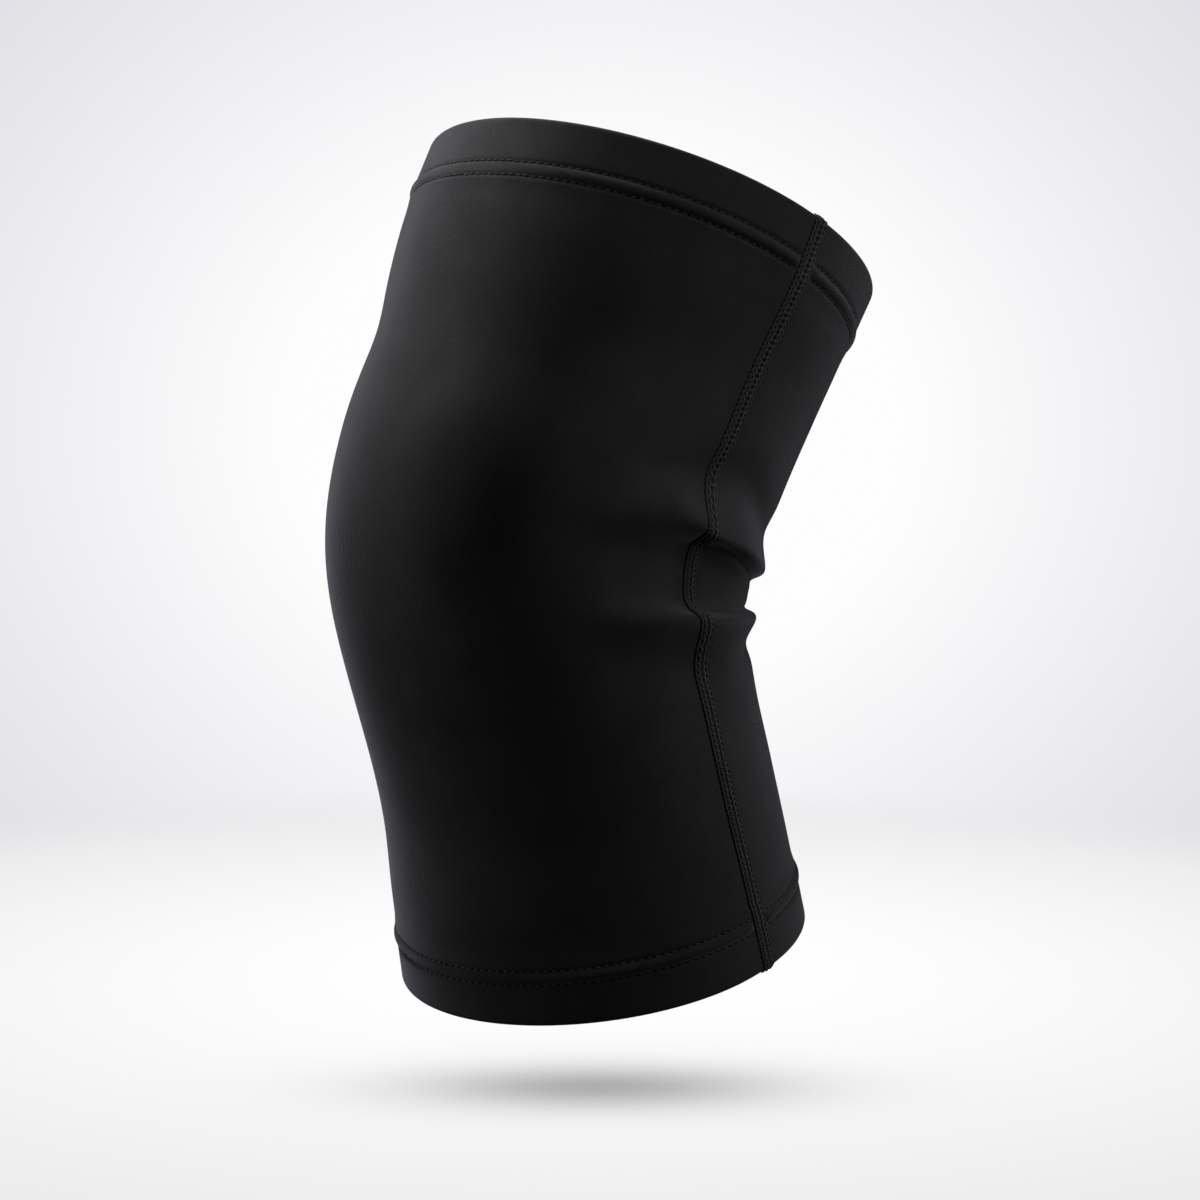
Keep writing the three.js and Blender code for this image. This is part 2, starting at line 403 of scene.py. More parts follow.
    def outside(self, along: Array, around: Array) -> Array:
        """Point of the outside: the section's radius plus relief, set square to the slid axis.

        Args:
            along: Places on the axis.
            around: Angles about it.

        Returns:
            The points, with x, y and z on the last axis.
        """
        along, around = np.broadcast_arrays(np.asarray(along, float), np.asarray(around, float))
        out, slide = self.relief(along, around)
        y, z, tilt = self.axis(along + slide)
        reach = self.radius(along, around) + out
        forward = reach * np.cos(np.radians(around))
        sideways = reach * np.sin(np.radians(around))
        return np.stack([sideways, y - forward * np.cos(tilt), z + forward * np.sin(tilt)], axis=-1)

    def outward(self, along: Array, around: Array) -> Array:
        """Direction square to the cloth: the cross product of its slopes around and along.

        Args:
            along: Places on the axis.
            around: Angles about it.

        Returns:
            Directions of length 1.
        """
        step = self.normal_step
        up = self.outside(along + step, around) - self.outside(along - step, around)
        across = self.outside(along, around + step) - self.outside(along, around - step)
        return unit(np.cross(across, up))

    def seam_angle(self, along: Array, side: Side) -> Array:
        """Angle of a side seam at each place along the axis."""
        return side.value * self.section_value("seam", along)

    def inset(self, along: Array) -> Array:
        """Distance from the nearer open edge, 0 at and past it."""
        return np.maximum(np.minimum(self.thigh_edge - along, along - self.calf_edge), 0.0)

    def edge_place(self, edge: Edge, inset: Array | float) -> Array | float:
        """Place along the axis at a distance from one of the open edges."""
        return self.thigh_edge - inset if edge is Edge.THIGH else self.calf_edge + inset


@dataclass(frozen=True)
class HemProfile:
    """Turned-in hem with two rows of stitches, by distance from the edge.

    Pairs for the groove and the puff are at the front and, past the second angle of turn, at the sides.
    """

    rows: tuple[float, float]
    turned_edge: tuple[float, float]
    cloth: float = 1.5
    hem_cloth: float = 3.0
    drift: float = 0.0
    proud: float = 0.4
    proud_fade: float = 5.0
    turn: tuple[float, float] = (5.0, 42.0)
    groove: tuple[float, float] = (0.2, 0.6)
    groove_span: float = 0.75
    back_groove: float = 0.35
    puff: tuple[float, float] = (0.05, 0.7)
    puff_span: float = 1.7

    @property
    def rim_radius(self) -> float:
        """Radius of the round rim."""
        return self.hem_cloth / 2

    def drift_at(self, around: Array) -> Array:
        """How much farther from the edge the rows run: most at front and back, least at the sides."""
        return self.drift * np.cos(2 * np.radians(around))

    def turned(self, pair: tuple[float, float], around: Array) -> Array:
        """Value of a pair at each angle, easing from the front's to the sides'."""
        return pair[0] + (pair[1] - pair[0]) * smoothstep(np.abs(signed(around)), *self.turn)

    def rim(self, inset: Array) -> Array:
        """Half the thickness of the rounded rim: a half circle's height above its chord."""
        return np.sqrt(np.maximum(self.rim_radius**2 - np.maximum(self.rim_radius - inset, 0.0) ** 2, 0.0))

    def step(self, inset: Array) -> Array:
        """How far the doubled cloth stands out, easing to nothing past the inner stitch row."""
        return self.proud * (1 - smoothstep(inset, self.rows[1], self.rows[1] + self.proud_fade))

    def stitched(self, inset: Array) -> Array:
        """1 on the middle of either stitch row, falling off to both sides."""
        return sum(bell((inset - row) / self.groove_span) for row in self.rows)

    def lift(self, inset: Array, around: Array, quiet: Array) -> Array:
        """Height of the outside: the round rim and the step, less the grooves, plus the puff between them.

        Args:
            inset: Distances from the edge.
            around: Angles about the axis.
            quiet: 0 where the hem is held flat by a seam, 1 away from it.

        Returns:
            The height above the smooth cloth, negative where it lies lower.
        """
        middle = sum(self.rows) / len(self.rows)
        deep = inset - self.drift_at(around)
        swell = self.turned(self.puff, around) * bell((deep - middle) / self.puff_span)
        dent = self.turned(self.groove, around) * self.stitched(deep)
        return self.rim(inset) - self.rim_radius + self.step(deep) + quiet * (swell - dent)

    def layers(self, inset: Array) -> Array:
        """Thickness of the cloth layers: double to the turned edge, single beyond."""
        return self.hem_cloth + (self.cloth - self.hem_cloth) * smoothstep(inset, *self.turned_edge)

    def thick(self, inset: Array, around: Array, quiet: Array) -> Array:
        """Thickness: the layers, less the round of the rim and the pinch at the stitch rows.

        Args:
            inset: Distances from the edge.
            around: Angles about the axis.
            quiet: 0 where the hem is held flat by a seam, 1 away from it.

        Returns:
            The thickness of the cloth.
        """
        deep = inset - self.drift_at(around)
        double = 1 - smoothstep(deep, *self.turned_edge)
        pinch = (self.turned(self.groove, around) + self.back_groove) * self.stitched(deep)
        return self.layers(deep) - 2 * (self.rim_radius - self.rim(inset)) - quiet * pinch * double


@dataclass(frozen=True)
class Hems:
    """The hems at the two open edges of a leg form."""

    form: LegForm
    thigh: HemProfile = HemProfile(rows=(14.3, 18.9), turned_edge=(20.3, 21.0), drift=0.8)
    calf: HemProfile = HemProfile(rows=(13.3, 17.7), turned_edge=(19.1, 19.8))

    def at(self, edge: Edge) -> HemProfile:
        """The hem at one of the edges."""
        return self.thigh if edge is Edge.THIGH else self.calf

    def pick(self, along: Array, read: Callable[[HemProfile, Array], Array]) -> Array:
        """Value of the nearer hem at places along the axis.

        Args:
            along: Places along the axis.
            read: Gives a hem's value from its profile and the distances from its edge.

        Returns:
            The values.
        """
        inset = self.form.inset(along)
        return np.where(along > 0, read(self.thigh, inset), read(self.calf, inset))

    def lift(self, along: Array, around: Array, quiet: Array) -> Array:
        """Height of the outside above the smooth cloth."""
        return self.pick(along, lambda hem, inset: hem.lift(inset, around, quiet))

    def thick(self, along: Array, around: Array, quiet: Array) -> Array:
        """Thickness of the cloth."""
        return self.pick(along, lambda hem, inset: hem.thick(inset, around, quiet))


@dataclass
class Facets:
    """Points and faces of one mesh as whole arrays, in millimetres.

    Attributes:
        points: Corners, n by 3.
        quads: Corner numbers of the four-sided faces, m by 4.
        quad_uv: Pattern coordinates of their corners in metres, m by 4 by 2.
        caps: Corner numbers of the closing faces, one array for each number of sides.
        tone: Factor of painted shade on the colour at each corner, or nothing where there is none.
    """

    points: Array
    quads: Array
    quad_uv: Array
    caps: list[Array] = field(default_factory=list)
    tone: Array | None = None

    @staticmethod
    def joined(parts: Sequence["Facets"]) -> "Facets":
        """All parts as one set of facets, each part's corner numbers moved past those before it.

        Args:
            parts: Facets without painted shade of their own.

        Returns:
            The joined facets.
        """
        first = np.cumsum([0] + [len(part.points) for part in parts[:-1]])
        return Facets(
            np.concatenate([part.points for part in parts]),
            np.concatenate([part.quads + start for part, start in zip(parts, first)]),
            np.concatenate([part.quad_uv for part in parts]),
            [cap + start for part, start in zip(parts, first) for cap in part.caps],
        )

    def piece(self, name: str, material: bpy.types.Material) -> bpy.types.Object:
        """A smooth mesh object in metres, with its pattern coordinates in the map named cloth.

        Args:
            name: The piece's name.
            material: Its finish.

        Returns:
            The object, linked to the scene and riding on the body.
        """
        faces = self.quads.tolist()
        for cap in self.caps:
            faces += cap.tolist()
        mesh = bpy.data.meshes.new(name)
        mesh.from_pydata((self.points * MM).tolist(), [], faces)
        cap_uv = np.zeros((sum(cap.size for cap in self.caps), 2))
        uv = np.concatenate([self.quad_uv.reshape(-1, 2), cap_uv])
        layer = mesh.uv_layers.new(name=UV_MAP)
        layer.uv.foreach_set("vector", uv.astype(np.float32).ravel())
        mesh.polygons.foreach_set("use_smooth", np.ones(len(faces), bool))
        # Painted shade of the cloth's dark spots, 1 on pieces that have none
        tone = np.ones(len(self.points)) if self.tone is None else self.tone
        mesh.attributes.new(PAINTED_SHADE_ATTRIBUTE, "FLOAT", "POINT").data.foreach_set("value", tone.astype(np.float32))
        mesh.materials.append(material)
        mesh.update()
        piece = linked(name, mesh)
        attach(piece, BODY)
        return piece


def stacked_faces(*corners: Array) -> Array:
    """Corner numbers of faces, one face to a row, from an array for each corner."""
    return np.stack(np.broadcast_arrays(*corners), axis=-1).reshape(-1, len(corners))


def grid_quads(rows: int, columns: int) -> Array:
    """Corner numbers of the faces of a grid, rows first, with its last row joined to its first.

    Args:
        rows: Number of rows of points.
        columns: Number of points in each row.

    Returns:
        Corner numbers, m by 4, turning from one column to the next and then to the next row.
    """
    i = np.arange(rows)[:, None]
    j = np.arange(columns - 1)[None, :]
    after = (i + 1) % rows
    return stacked_faces(i * columns + j, i * columns + j + 1, after * columns + j + 1, after * columns + j)


def tubes(centre: Array, up: Array, half_width: Array, half_height: Array, sides: int) -> Facets:
    """Closed tubes: an ellipse carried along each of several paths.

    A ring's points are the path's point plus half_width cos(a) across plus half_height sin(a) up,
    where across is square to the path and to up.

    Args:
        centre: Points of the paths in millimetres, paths by points by 3.
        up: Directions that point out of the cloth, like centre.
        half_width: Half the tubes' width at each point.
        half_height: Half their height at each point.
        sides: Number of points in a ring.

    Returns:
        The tubes, with u the distance along the path and v once round the ring.
    """
    paths, count, _ = centre.shape
    along = unit(np.gradient(centre, axis=1))
    across = unit(np.cross(along, up))
    rise = unit(np.cross(across, along))
    turn = np.arange(sides) * FULL_TURN / sides
    ring = (half_width[..., None, None] * np.cos(turn)[:, None] * across[:, :, None]
            + half_height[..., None, None] * np.sin(turn)[:, None] * rise[:, :, None])
    points = (centre[:, :, None] + ring).reshape(-1, 3)
    p = np.arange(paths)[:, None, None]
    i = np.arange(count - 1)[None, :, None]
    j = np.arange(sides)[None, None, :]
    near, far = ((p * count + ring_no) * sides for ring_no in (i, i + 1))
    beside = (j + 1) % sides
    quads = stacked_faces(near + j, far + j, far + beside, near + beside)
    travel = travelled(centre, axis=1) * MM
    here, ahead = travel[:, :-1, None], travel[:, 1:, None]
    u = np.stack(np.broadcast_arrays(here, ahead, ahead, here, j)[:4], axis=-1)
    v = np.stack(np.broadcast_arrays(j, j, j + 1, j + 1, here)[:4], axis=-1) / sides
    first = (np.arange(paths) * count * sides)[:, None] + np.arange(sides)
    last = first[:, ::-1] + (count - 1) * sides
    return Facets(points, quads, np.stack([u, v], axis=-1).reshape(-1, 4, 2), [np.concatenate([first, last])])


MIX_FIRST = 6
MIX_SECOND = 7
MIX_RESULT = 2


class Graph:
    """Adds nodes to one node tree and links them."""

    def __init__(self, tree: bpy.types.NodeTree) -> None:
        """Keeps the tree that the nodes go into."""
        self.tree = tree

    def node(self, kind: str, **values: object) -> bpy.types.Node:
        """One new node.

        Args:
            kind: Its Blender type.
            values: Its properties by name, or its inputs by name with _ for a space.

        Returns:
            The node.
        """
        made = self.tree.nodes.new(kind)
        for name, value in values.items():
            if hasattr(made, name):
                setattr(made, name, value)
            else:
                self.feed(made.inputs[name.replace("_", " ")], value)
        return made

    def feed(self, socket: bpy.types.NodeSocket, value: object) -> None:
        """Links a socket to an output, or sets its value.

        Args:
            socket: The input socket.
            value: The output that it is linked to, or its value.
        """
        if isinstance(value, bpy.types.NodeSocket):
            self.tree.links.new(value, socket)
        else:
            socket.default_value = value

    def math(self, operation: str, *values: object) -> bpy.types.NodeSocket:
        """One new Math node.

        Args:
            operation: What it works out.
            values: Sockets and numbers that it works on.

        Returns:
            Its output.
        """
        made = self.tree.nodes.new("ShaderNodeMath")
        made.operation = operation
        for socket, value in zip(made.inputs, values):
            self.feed(socket, value)
        return made.outputs[0]

    def between(self, factor: object, low: float, high: float) -> bpy.types.NodeSocket:
        """Output low + (high - low) times factor."""
        return self.math("MULTIPLY_ADD", factor, high - low, low)

    def vector(self, operation: str, first: object, second: object = None) -> bpy.types.Node:
        """One new Vector Math node.

        Args:
            operation: What it works out.
            first: The vector or colour that it works on.
            second: The second vector, where it has one.

        Returns:
            The node.
        """
        made = self.node("ShaderNodeVectorMath", operation=operation)
        self.feed(made.inputs[0], first)
        if second is not None:
            self.feed(made.inputs[1], second)
        return made

    def scaled(self, colour: object, factor: object) -> bpy.types.NodeSocket:
        """A colour times a factor.

        Args:
            colour: The colour.
            factor: The factor.

        Returns:
            The product.
        """
        made = self.vector("SCALE", colour)
        self.feed(made.inputs["Scale"], factor)
        return made.outputs[0]

    def mixed(self, factor: object, first: object, second: object) -> bpy.types.NodeSocket:
        """Colour that goes from the first at factor 0 to the second at 1.

        A Mix node has sockets of the same names for each kind of value, so its colour sockets are
        picked by number.

        Args:
            factor: Share of the second colour.
            first: The first colour.
            second: The second colour.

        Returns:
            The mixed colour.
        """
        made = self.node("ShaderNodeMix", data_type="RGBA", Factor=factor)
        self.feed(made.inputs[MIX_FIRST], first)
        self.feed(made.inputs[MIX_SECOND], second)
        return made.outputs[MIX_RESULT]


def empty_graph(owner: bpy.types.Material | bpy.types.World) -> Graph:
    """The graph of a material or a world, with no nodes in it yet.

    Args:
        owner: The material or world.

    Returns:
        Its graph.
    """
    owner.use_nodes = True
    owner.node_tree.nodes.clear()
    return Graph(owner.node_tree)


def new_group(
    name: str, inputs: dict[str, str], outputs: dict[str, str]
) -> tuple[Graph, bpy.types.Node, bpy.types.Node]:
    """An empty shader node group with named sockets.

    Args:
        name: The group's name.
        inputs: Socket types by input name.
        outputs: Socket types by output name.

    Returns:
        The group's graph, its input node and its output node.
    """
    tree = bpy.data.node_groups.new(name, "ShaderNodeTree")
    for way, sockets in (("INPUT", inputs), ("OUTPUT", outputs)):
        for socket, kind in sockets.items():
            tree.interface.new_socket(socket, in_out=way, socket_type=kind)
    graph = Graph(tree)
    return graph, graph.node("NodeGroupInput"), graph.node("NodeGroupOutput")


FLOAT = "NodeSocketFloat"
COLOUR = "NodeSocketColor"
VECTOR = "NodeSocketVector"


class Effects:
    """Node groups that the finishes share.

    Attributes:
        FINE_SHARE: Share of the fine noise in the tone of the fibres; the broad noise has the rest.
        ROUGHNESS: Roughness of the dark and of the light fibres.
        RIB_LOW, LEG_LOW, LOOP_LOW: Lowest factors of the knit's ribs, legs and courses; the highest is 1.
        KNIT_SHADE: Factor on the knit's colour at height 0 and height 1, painted shade that darkens its
            hollows.
        THREAD_SHADE: Factor on a thread's colour in the grooves and on the ridges of its twist, painted shade
            that darkens the grooves.
    """

    FINE_SHARE = 0.62
    ROUGHNESS = (0.92, 0.74)
    RIB_LOW = 0.3
    LEG_LOW = 0.75
    LOOP_LOW = 0.86
    KNIT_SHADE = (0.7, 1.1)
    THREAD_SHADE = (0.6, 1.15)

    def __init__(self) -> None:
        """Builds each group once."""
        self.fibre_tone = self._fibre_tone()
        self.knit_relief = self._knit_relief()
        self.thread_twist = self._thread_twist()

    def _fibre_tone(self) -> bpy.types.NodeTree:
        """Uneven yarn colour and fuzz: fine and broad noise mixed between two colours and two roughnesses.

        Returns:
            The node group.
        """
        graph, given, result = new_group(
            "fibre_tone",
            {"Vector": VECTOR, "Dark": COLOUR, "Light": COLOUR, "Grain": FLOAT, "Cloud": FLOAT},
            {"Color": COLOUR, "Roughness": FLOAT, "Fuzz": FLOAT},
        )
        fine = graph.node("ShaderNodeTexNoise", Vector=given.outputs["Vector"], Scale=given.outputs["Grain"],
                          Detail=3.0, Roughness=0.65)
        broad = graph.node("ShaderNodeTexNoise", Vector=given.outputs["Vector"], Scale=given.outputs["Cloud"],
                           Detail=2.0, Roughness=0.5)
        share = graph.math("ADD", graph.math("MULTIPLY", fine.outputs["Fac"], self.FINE_SHARE),
                           graph.math("MULTIPLY", broad.outputs["Fac"], 1 - self.FINE_SHARE))
        spread = graph.node("ShaderNodeMapRange", Value=share, From_Min=0.3, From_Max=0.7).outputs[0]
        colour = graph.mixed(spread, given.outputs["Dark"], given.outputs["Light"])
        graph.feed(result.inputs["Color"], colour)
        graph.feed(result.inputs["Roughness"], graph.between(spread, *self.ROUGHNESS))
        graph.feed(result.inputs["Fuzz"], fine.outputs["Fac"])
        return graph.tree

    def _knit_relief(self) -> bpy.types.NodeTree:
        """Plain knit: a wale is a rib, |sin(pi w)|, of two legs, |sin(2 pi w)|, under slanted courses.

        Returns:
            The node group.
        """
        graph, given, result = new_group(
            "knit_relief",
            {"Vector": VECTOR, "Wales": FLOAT, "Courses": FLOAT, "Slant": FLOAT},
            {"Height": FLOAT, "Shade": FLOAT},
        )
        parts = graph.node("ShaderNodeSeparateXYZ", Vector=given.outputs["Vector"])
        wale = graph.math("MULTIPLY", parts.outputs[0], given.outputs["Wales"])
        course = graph.math("MULTIPLY", parts.outputs[1], given.outputs["Courses"])
        from_middle = graph.math("ABSOLUTE", graph.math("SUBTRACT", graph.math("FRACT", wale), 0.5))
        rib = graph.math("ABSOLUTE", graph.math("SINE", graph.math("MULTIPLY", wale, FULL_TURN / 2)))
        leg = graph.math("ABSOLUTE", graph.math("SINE", graph.math("MULTIPLY", wale, FULL_TURN)))
        slanted = graph.math("MULTIPLY_ADD", from_middle, given.outputs["Slant"], course)
        loop = graph.math("COSINE", graph.math("MULTIPLY", slanted, FULL_TURN))
        stitch = graph.math("MULTIPLY", graph.between(leg, self.LEG_LOW, 1.0),
                            graph.between(loop, self.LOOP_LOW, 1.0))
        height = graph.math("MULTIPLY", graph.between(rib, self.RIB_LOW, 1.0), stitch)
        graph.feed(result.inputs["Height"], height)
        # Shade is painted shade: the knit's colour darkens where its relief is low
        graph.feed(result.inputs["Shade"], graph.between(height, *self.KNIT_SHADE))
        return graph.tree

    def _thread_twist(self) -> bpy.types.NodeTree:
        """Plied thread: a ridge that winds along it, the absolute sine of its length in turns plus v.

        Returns:
            The node group.
        """
        graph, given, result = new_group(
            "thread_twist", {"Vector": VECTOR, "Turns": FLOAT}, {"Height": FLOAT, "Shade": FLOAT}
        )
        parts = graph.node("ShaderNodeSeparateXYZ", Vector=given.outputs["Vector"])
        wound = graph.math("MULTIPLY_ADD", parts.outputs[0], given.outputs["Turns"], parts.outputs[1])
        ridge = graph.math("ABSOLUTE", graph.math("SINE", graph.math("MULTIPLY", wound, FULL_TURN)))
        graph.feed(result.inputs["Height"], ridge)
        # Shade is painted shade: the thread's colour darkens in the grooves of its twist
        graph.feed(result.inputs["Shade"], graph.between(ridge, *self.THREAD_SHADE))
        return graph.tree


@dataclass(frozen=True)
class Finish:
    """What every textile finish has: its colours, the size of its fibres, and its soft bloom of light."""

    name: str
    dark: tuple[float, float, float]
    light: tuple[float, float, float]
    grain: float = 2600.0
    cloud: float = 60.0
    bump: float = 0.0001
    bump_strength: float = 0.7
    fuzz_bump: float = 0.25
    sheen: float = 0.25
    sheen_roughness: float = 0.35
    sheen_tint: tuple[float, float, float] = (0.86, 0.88, 1.0)
    specular: float = 0.14

    def relief(self, graph: Graph, effects: Effects, place: bpy.types.NodeSocket) -> bpy.types.Node:
        """The group node whose Height and Shade give the finish its relief."""
        raise NotImplementedError

    def material(self, effects: Effects) -> bpy.types.Material:
        """The finish as a Blender material that reads the piece's own pattern coordinates.

        Args:
            effects: The shared node groups.

        Returns:
            The material.
        """
        made = bpy.data.materials.new(self.name)
        graph = empty_graph(made)
        place = graph.node("ShaderNodeUVMap", uv_map=UV_MAP).outputs["UV"]
        spot = graph.node("ShaderNodeTexCoord").outputs["Object"]
        tone = graph.node("ShaderNodeGroup", node_tree=effects.fibre_tone, Vector=spot, Grain=self.grain,
                          Cloud=self.cloud, Dark=(*self.dark, 1.0), Light=(*self.light, 1.0))
        relief = self.relief(graph, effects, place)
        # Painted shade of the dark spots, read from the piece's point attribute
        painted_spot_shade = graph.node("ShaderNodeAttribute", attribute_name=PAINTED_SHADE_ATTRIBUTE).outputs["Fac"]
        # The relief's painted shade times the painted shade of the dark spots
        shade = graph.math("MULTIPLY", relief.outputs["Shade"], painted_spot_shade)
        colour = graph.scaled(tone.outputs["Color"], shade)
        height = graph.math("MULTIPLY_ADD", tone.outputs["Fuzz"], self.fuzz_bump, relief.outputs["Height"])
        bump = graph.node("ShaderNodeBump", Strength=self.bump_strength, Distance=self.bump, Height=height)
        shader = graph.node("ShaderNodeBsdfPrincipled")
        graph.feed(shader.inputs["Base Color"], colour)
        graph.feed(shader.inputs["Roughness"], tone.outputs["Roughness"])
        graph.feed(shader.inputs["Normal"], bump.outputs["Normal"])
        shader.inputs["Specular IOR Level"].default_value = self.specular
        shader.inputs["Sheen Weight"].default_value = self.sheen
        shader.inputs["Sheen Roughness"].default_value = self.sheen_roughness
        shader.inputs["Sheen Tint"].default_value = (*self.sheen_tint, 1.0)
        target = graph.node("ShaderNodeOutputMaterial")
        graph.feed(target.inputs["Surface"], shader.outputs["BSDF"])
        return made


@dataclass(frozen=True)
class KnitFinish(Finish):
    """Fine plain knit, with its wales and courses per metre."""

    wales: float = 1180.0
    courses: float = 1400.0
    slant: float = 0.9

    def relief(self, graph: Graph, effects: Effects, place: bpy.types.NodeSocket) -> bpy.types.Node:
        """The knit's loops on the cloth's own coordinates."""
        return graph.node("ShaderNodeGroup", node_tree=effects.knit_relief, Vector=place, Wales=self.wales,
                          Courses=self.courses, Slant=self.slant)


@dataclass(frozen=True)
class ThreadFinish(Finish):
    """Plied thread, with its turns per metre."""

    turns: float = 900.0

    def relief(self, graph: Graph, effects: Effects, place: bpy.types.NodeSocket) -> bpy.types.Node:
        """The thread's twist along its length."""
        return graph.node("ShaderNodeGroup", node_tree=effects.thread_twist, Vector=place, Turns=self.turns)


CLOTH = KnitFinish("black_knit", dark=(0.008, 0.008, 0.0086), light=(0.0138, 0.0138, 0.0147), bump=0.00013)
SEAM_CLOTH = KnitFinish(
    "seam_edge_knit", dark=(0.004, 0.004, 0.0044), light=(0.007, 0.007, 0.0075), sheen=0.15, wales=1900,
    courses=1900,
)
SEAM_THREAD = ThreadFinish(
    "flatlock_thread", dark=(0.0085, 0.0085, 0.009), light=(0.017, 0.017, 0.018), bump=0.00012, sheen=0.2,
    specular=0.3,
)
HEM_THREAD = ThreadFinish(
    "hem_thread", dark=(0.0095, 0.0095, 0.010), light=(0.026, 0.026, 0.027), bump=0.0001, sheen=0.2,
    specular=0.3,
)
# Near-black finish of the needle holes: painted shade, dark lenses that stand in for the shadow in each hole
PAINTED_HOLE_SHADE = KnitFinish(
    "painted_hole_shade", dark=(0.0012, 0.0012, 0.0013), light=(0.0025, 0.0025, 0.0026), sheen=0.0, specular=0.03,
)


@dataclass
class ClothPanel:
    """One cloth panel between the two seams, a closed shell with a turned-in hem at both ends.

    Attributes:
        seam_zone: Distances from a seam of the columns of points beside it; the first is the panel's edge.
        body_rows: First place, end and step of the rows of points on the calf, the folds and the thigh.
        face_rows: First inset of the rows on the hem's face, their distance from the first stitch row, and
            their number.
        stitch_rows: How far the rows reach before the first stitch row and past the turned edge, and
            their step.
    """

    name: str
    node: str
    form: LegForm
    hems: Hems
    first: Side
    last: Side
    columns: int
    flat: tuple[float, float]
    flat_area: float
    seam_zone: tuple[float, ...] = (0.55, 1.1, 1.7, 2.2, 2.5, 2.75, 3.0, 3.25, 3.5, 3.9, 4.5, 5.4, 6.8)
    seam_dip: float = 0.12
    seam_dip_at: float = 3.0
    seam_dip_span: float = 0.35
    quiet_from: float = 2.6
    quiet_to: float = 5.2
    rim_rows: int = 7
    face_rows: tuple[float, float, int] = (2.4, 2.2, 5)
    stitch_rows: tuple[float, float, float] = (1.5, 0.5, 0.34)
    body_rows: tuple[tuple[float, float, float], ...] = (
        (-108.5, -52, 1.9),
        (-50.5, 32, 0.56),
        (33.5, 90, 1.9),
    )

    def rows(self) -> Array:
        """Places along the axis of the rows of points: close at rims, stitch rows and folds.

        Returns:
            The places, from the calf's edge to the thigh's.
        """
        face_from, face_gap, face_count = self.face_rows
        before, past, step = self.stitch_rows
        rims = []
        for edge in Edge:
            hem = self.hems.at(edge)
            round_rim = round_steps(hem.rim_radius, self.rim_rows)
            first, last = hem.rows[0] - hem.drift, hem.turned_edge[1] + hem.drift
            face = np.linspace(face_from, first - face_gap, face_count)
            stitched = np.arange(first - before, last + past, step)
            rims.append(np.concatenate([round_rim, face, stitched]))
        thigh, calf = rims
        body = np.concatenate([np.arange(*stretch) for stretch in self.body_rows])
        return np.concatenate([self.form.calf_edge + calf, body, (self.form.thigh_edge - thigh)[::-1]])

    def seams(self, along: Array) -> tuple[Array, Array]:
        """Angles of the panel's two seams, the last one past the first.

        Args:
            along: Places along the axis.

        Returns:
            The angles of the first seam and of the last.
        """
        first, last = (self.form.seam_angle(along, side) for side in (self.first, self.last))
        return first, np.where(last < first, FULL_CIRCLE + last, last)

    def angles(self, along: Array) -> tuple[Array, Array]:
        """Angle of every point and its distance on the cloth from the nearer seam.

        Args:
            along: Places of the rows.

        Returns:
            Angles and distances, rows by columns.
        """
        first, last = (seam[:, None] for seam in self.seams(along))
        per_mm = np.degrees(1.0) / self.form.radius(along, first[:, 0])[:, None]
        zone = np.array(self.seam_zone)
        share = np.linspace(0, 1, self.columns)[1:-1]
        low, high = first + zone[-1] * per_mm, last - zone[-1] * per_mm
        around = np.concatenate(
            [first + zone * per_mm, low + (high - low) * share, last - zone[::-1] * per_mm], axis=1
        )
        return around, np.minimum(around - first, last - around) / per_mm

    def facets(self) -> Facets:
        """Outer and inner grid as one closed loop of rows, with strips that close the two seam edges.

        The outside is the leg form plus the hem's lift, less a dip beside the seam. The inside lies
        one thickness below it along the cloth's normal, and both meet at the round rims.

        Returns:
            The panel's facets.
        """
        along = self.rows()
        around, from_seam = self.angles(along)
        place = np.broadcast_to(along[:, None], around.shape)
        quiet = smoothstep(from_seam, self.quiet_from, self.quiet_to)
        dip = self.seam_dip * bell((from_seam - self.seam_dip_at) / self.seam_dip_span)
        normal = self.form.outward(place, around)
        lift = self.hems.lift(place, around, quiet) - dip
        outer = self.form.outside(place, around) + normal * lift[..., None]
        inner = outer - normal * self.hems.thick(place, around, quiet)[..., None]
        loop = np.concatenate([outer, inner[-2:0:-1]])
        rows, columns = outer.shape[:2]
        count = len(loop)
        quads = grid_quads(count, columns)
        travel = travelled(outer, axis=0)
        length = travel / travel[-1] * travel[-1].mean()
        u = np.radians(around) * self.form.mean_radius
        uv = np.stack([u, length], axis=-1) * MM
        uv = np.concatenate([uv, uv[-2:0:-1]]).reshape(-1, 2)
        i = np.arange(1, rows - 2)
        under = (count - np.arange(rows)) % count
        sides = []
        for column, turned in ((0, False), (columns - 1, True)):
            strip = np.stack([i, i + 1, under[i + 1], under[i]], axis=-1) * columns + column
            ends = np.array([[0, 1, under[1]], [rows - 1, under[-2], rows - 2]]) * columns + column
            sides += [strip[:, ::-1], ends[:, ::-1]] if turned else [strip, ends]
        # Painted shade of the dark spots on the kneecap and thigh
        shade = self.form.shade(place, around)
        tone = np.concatenate([shade, shade[-2:0:-1]]).ravel()
        return Facets(loop.reshape(-1, 3), quads, uv[quads], sides, tone)

    def build(self, finish: bpy.types.Material) -> bpy.types.Object:
        """Makes the panel and lets it stand for its CAD node.

        Args:
            finish: Finish of the cloth.

        Returns:
            The panel.
        """
        piece = self.facets().piece(self.name, finish)
        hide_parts(self.node)
        return piece

    def declare(
        self, piece: bpy.types.Object, held_by: Sequence[str], with_pieces: Sequence[bpy.types.Object]
    ) -> None:
        """Takes the panel, what carries it and the pieces that go with it, and does nothing with them."""


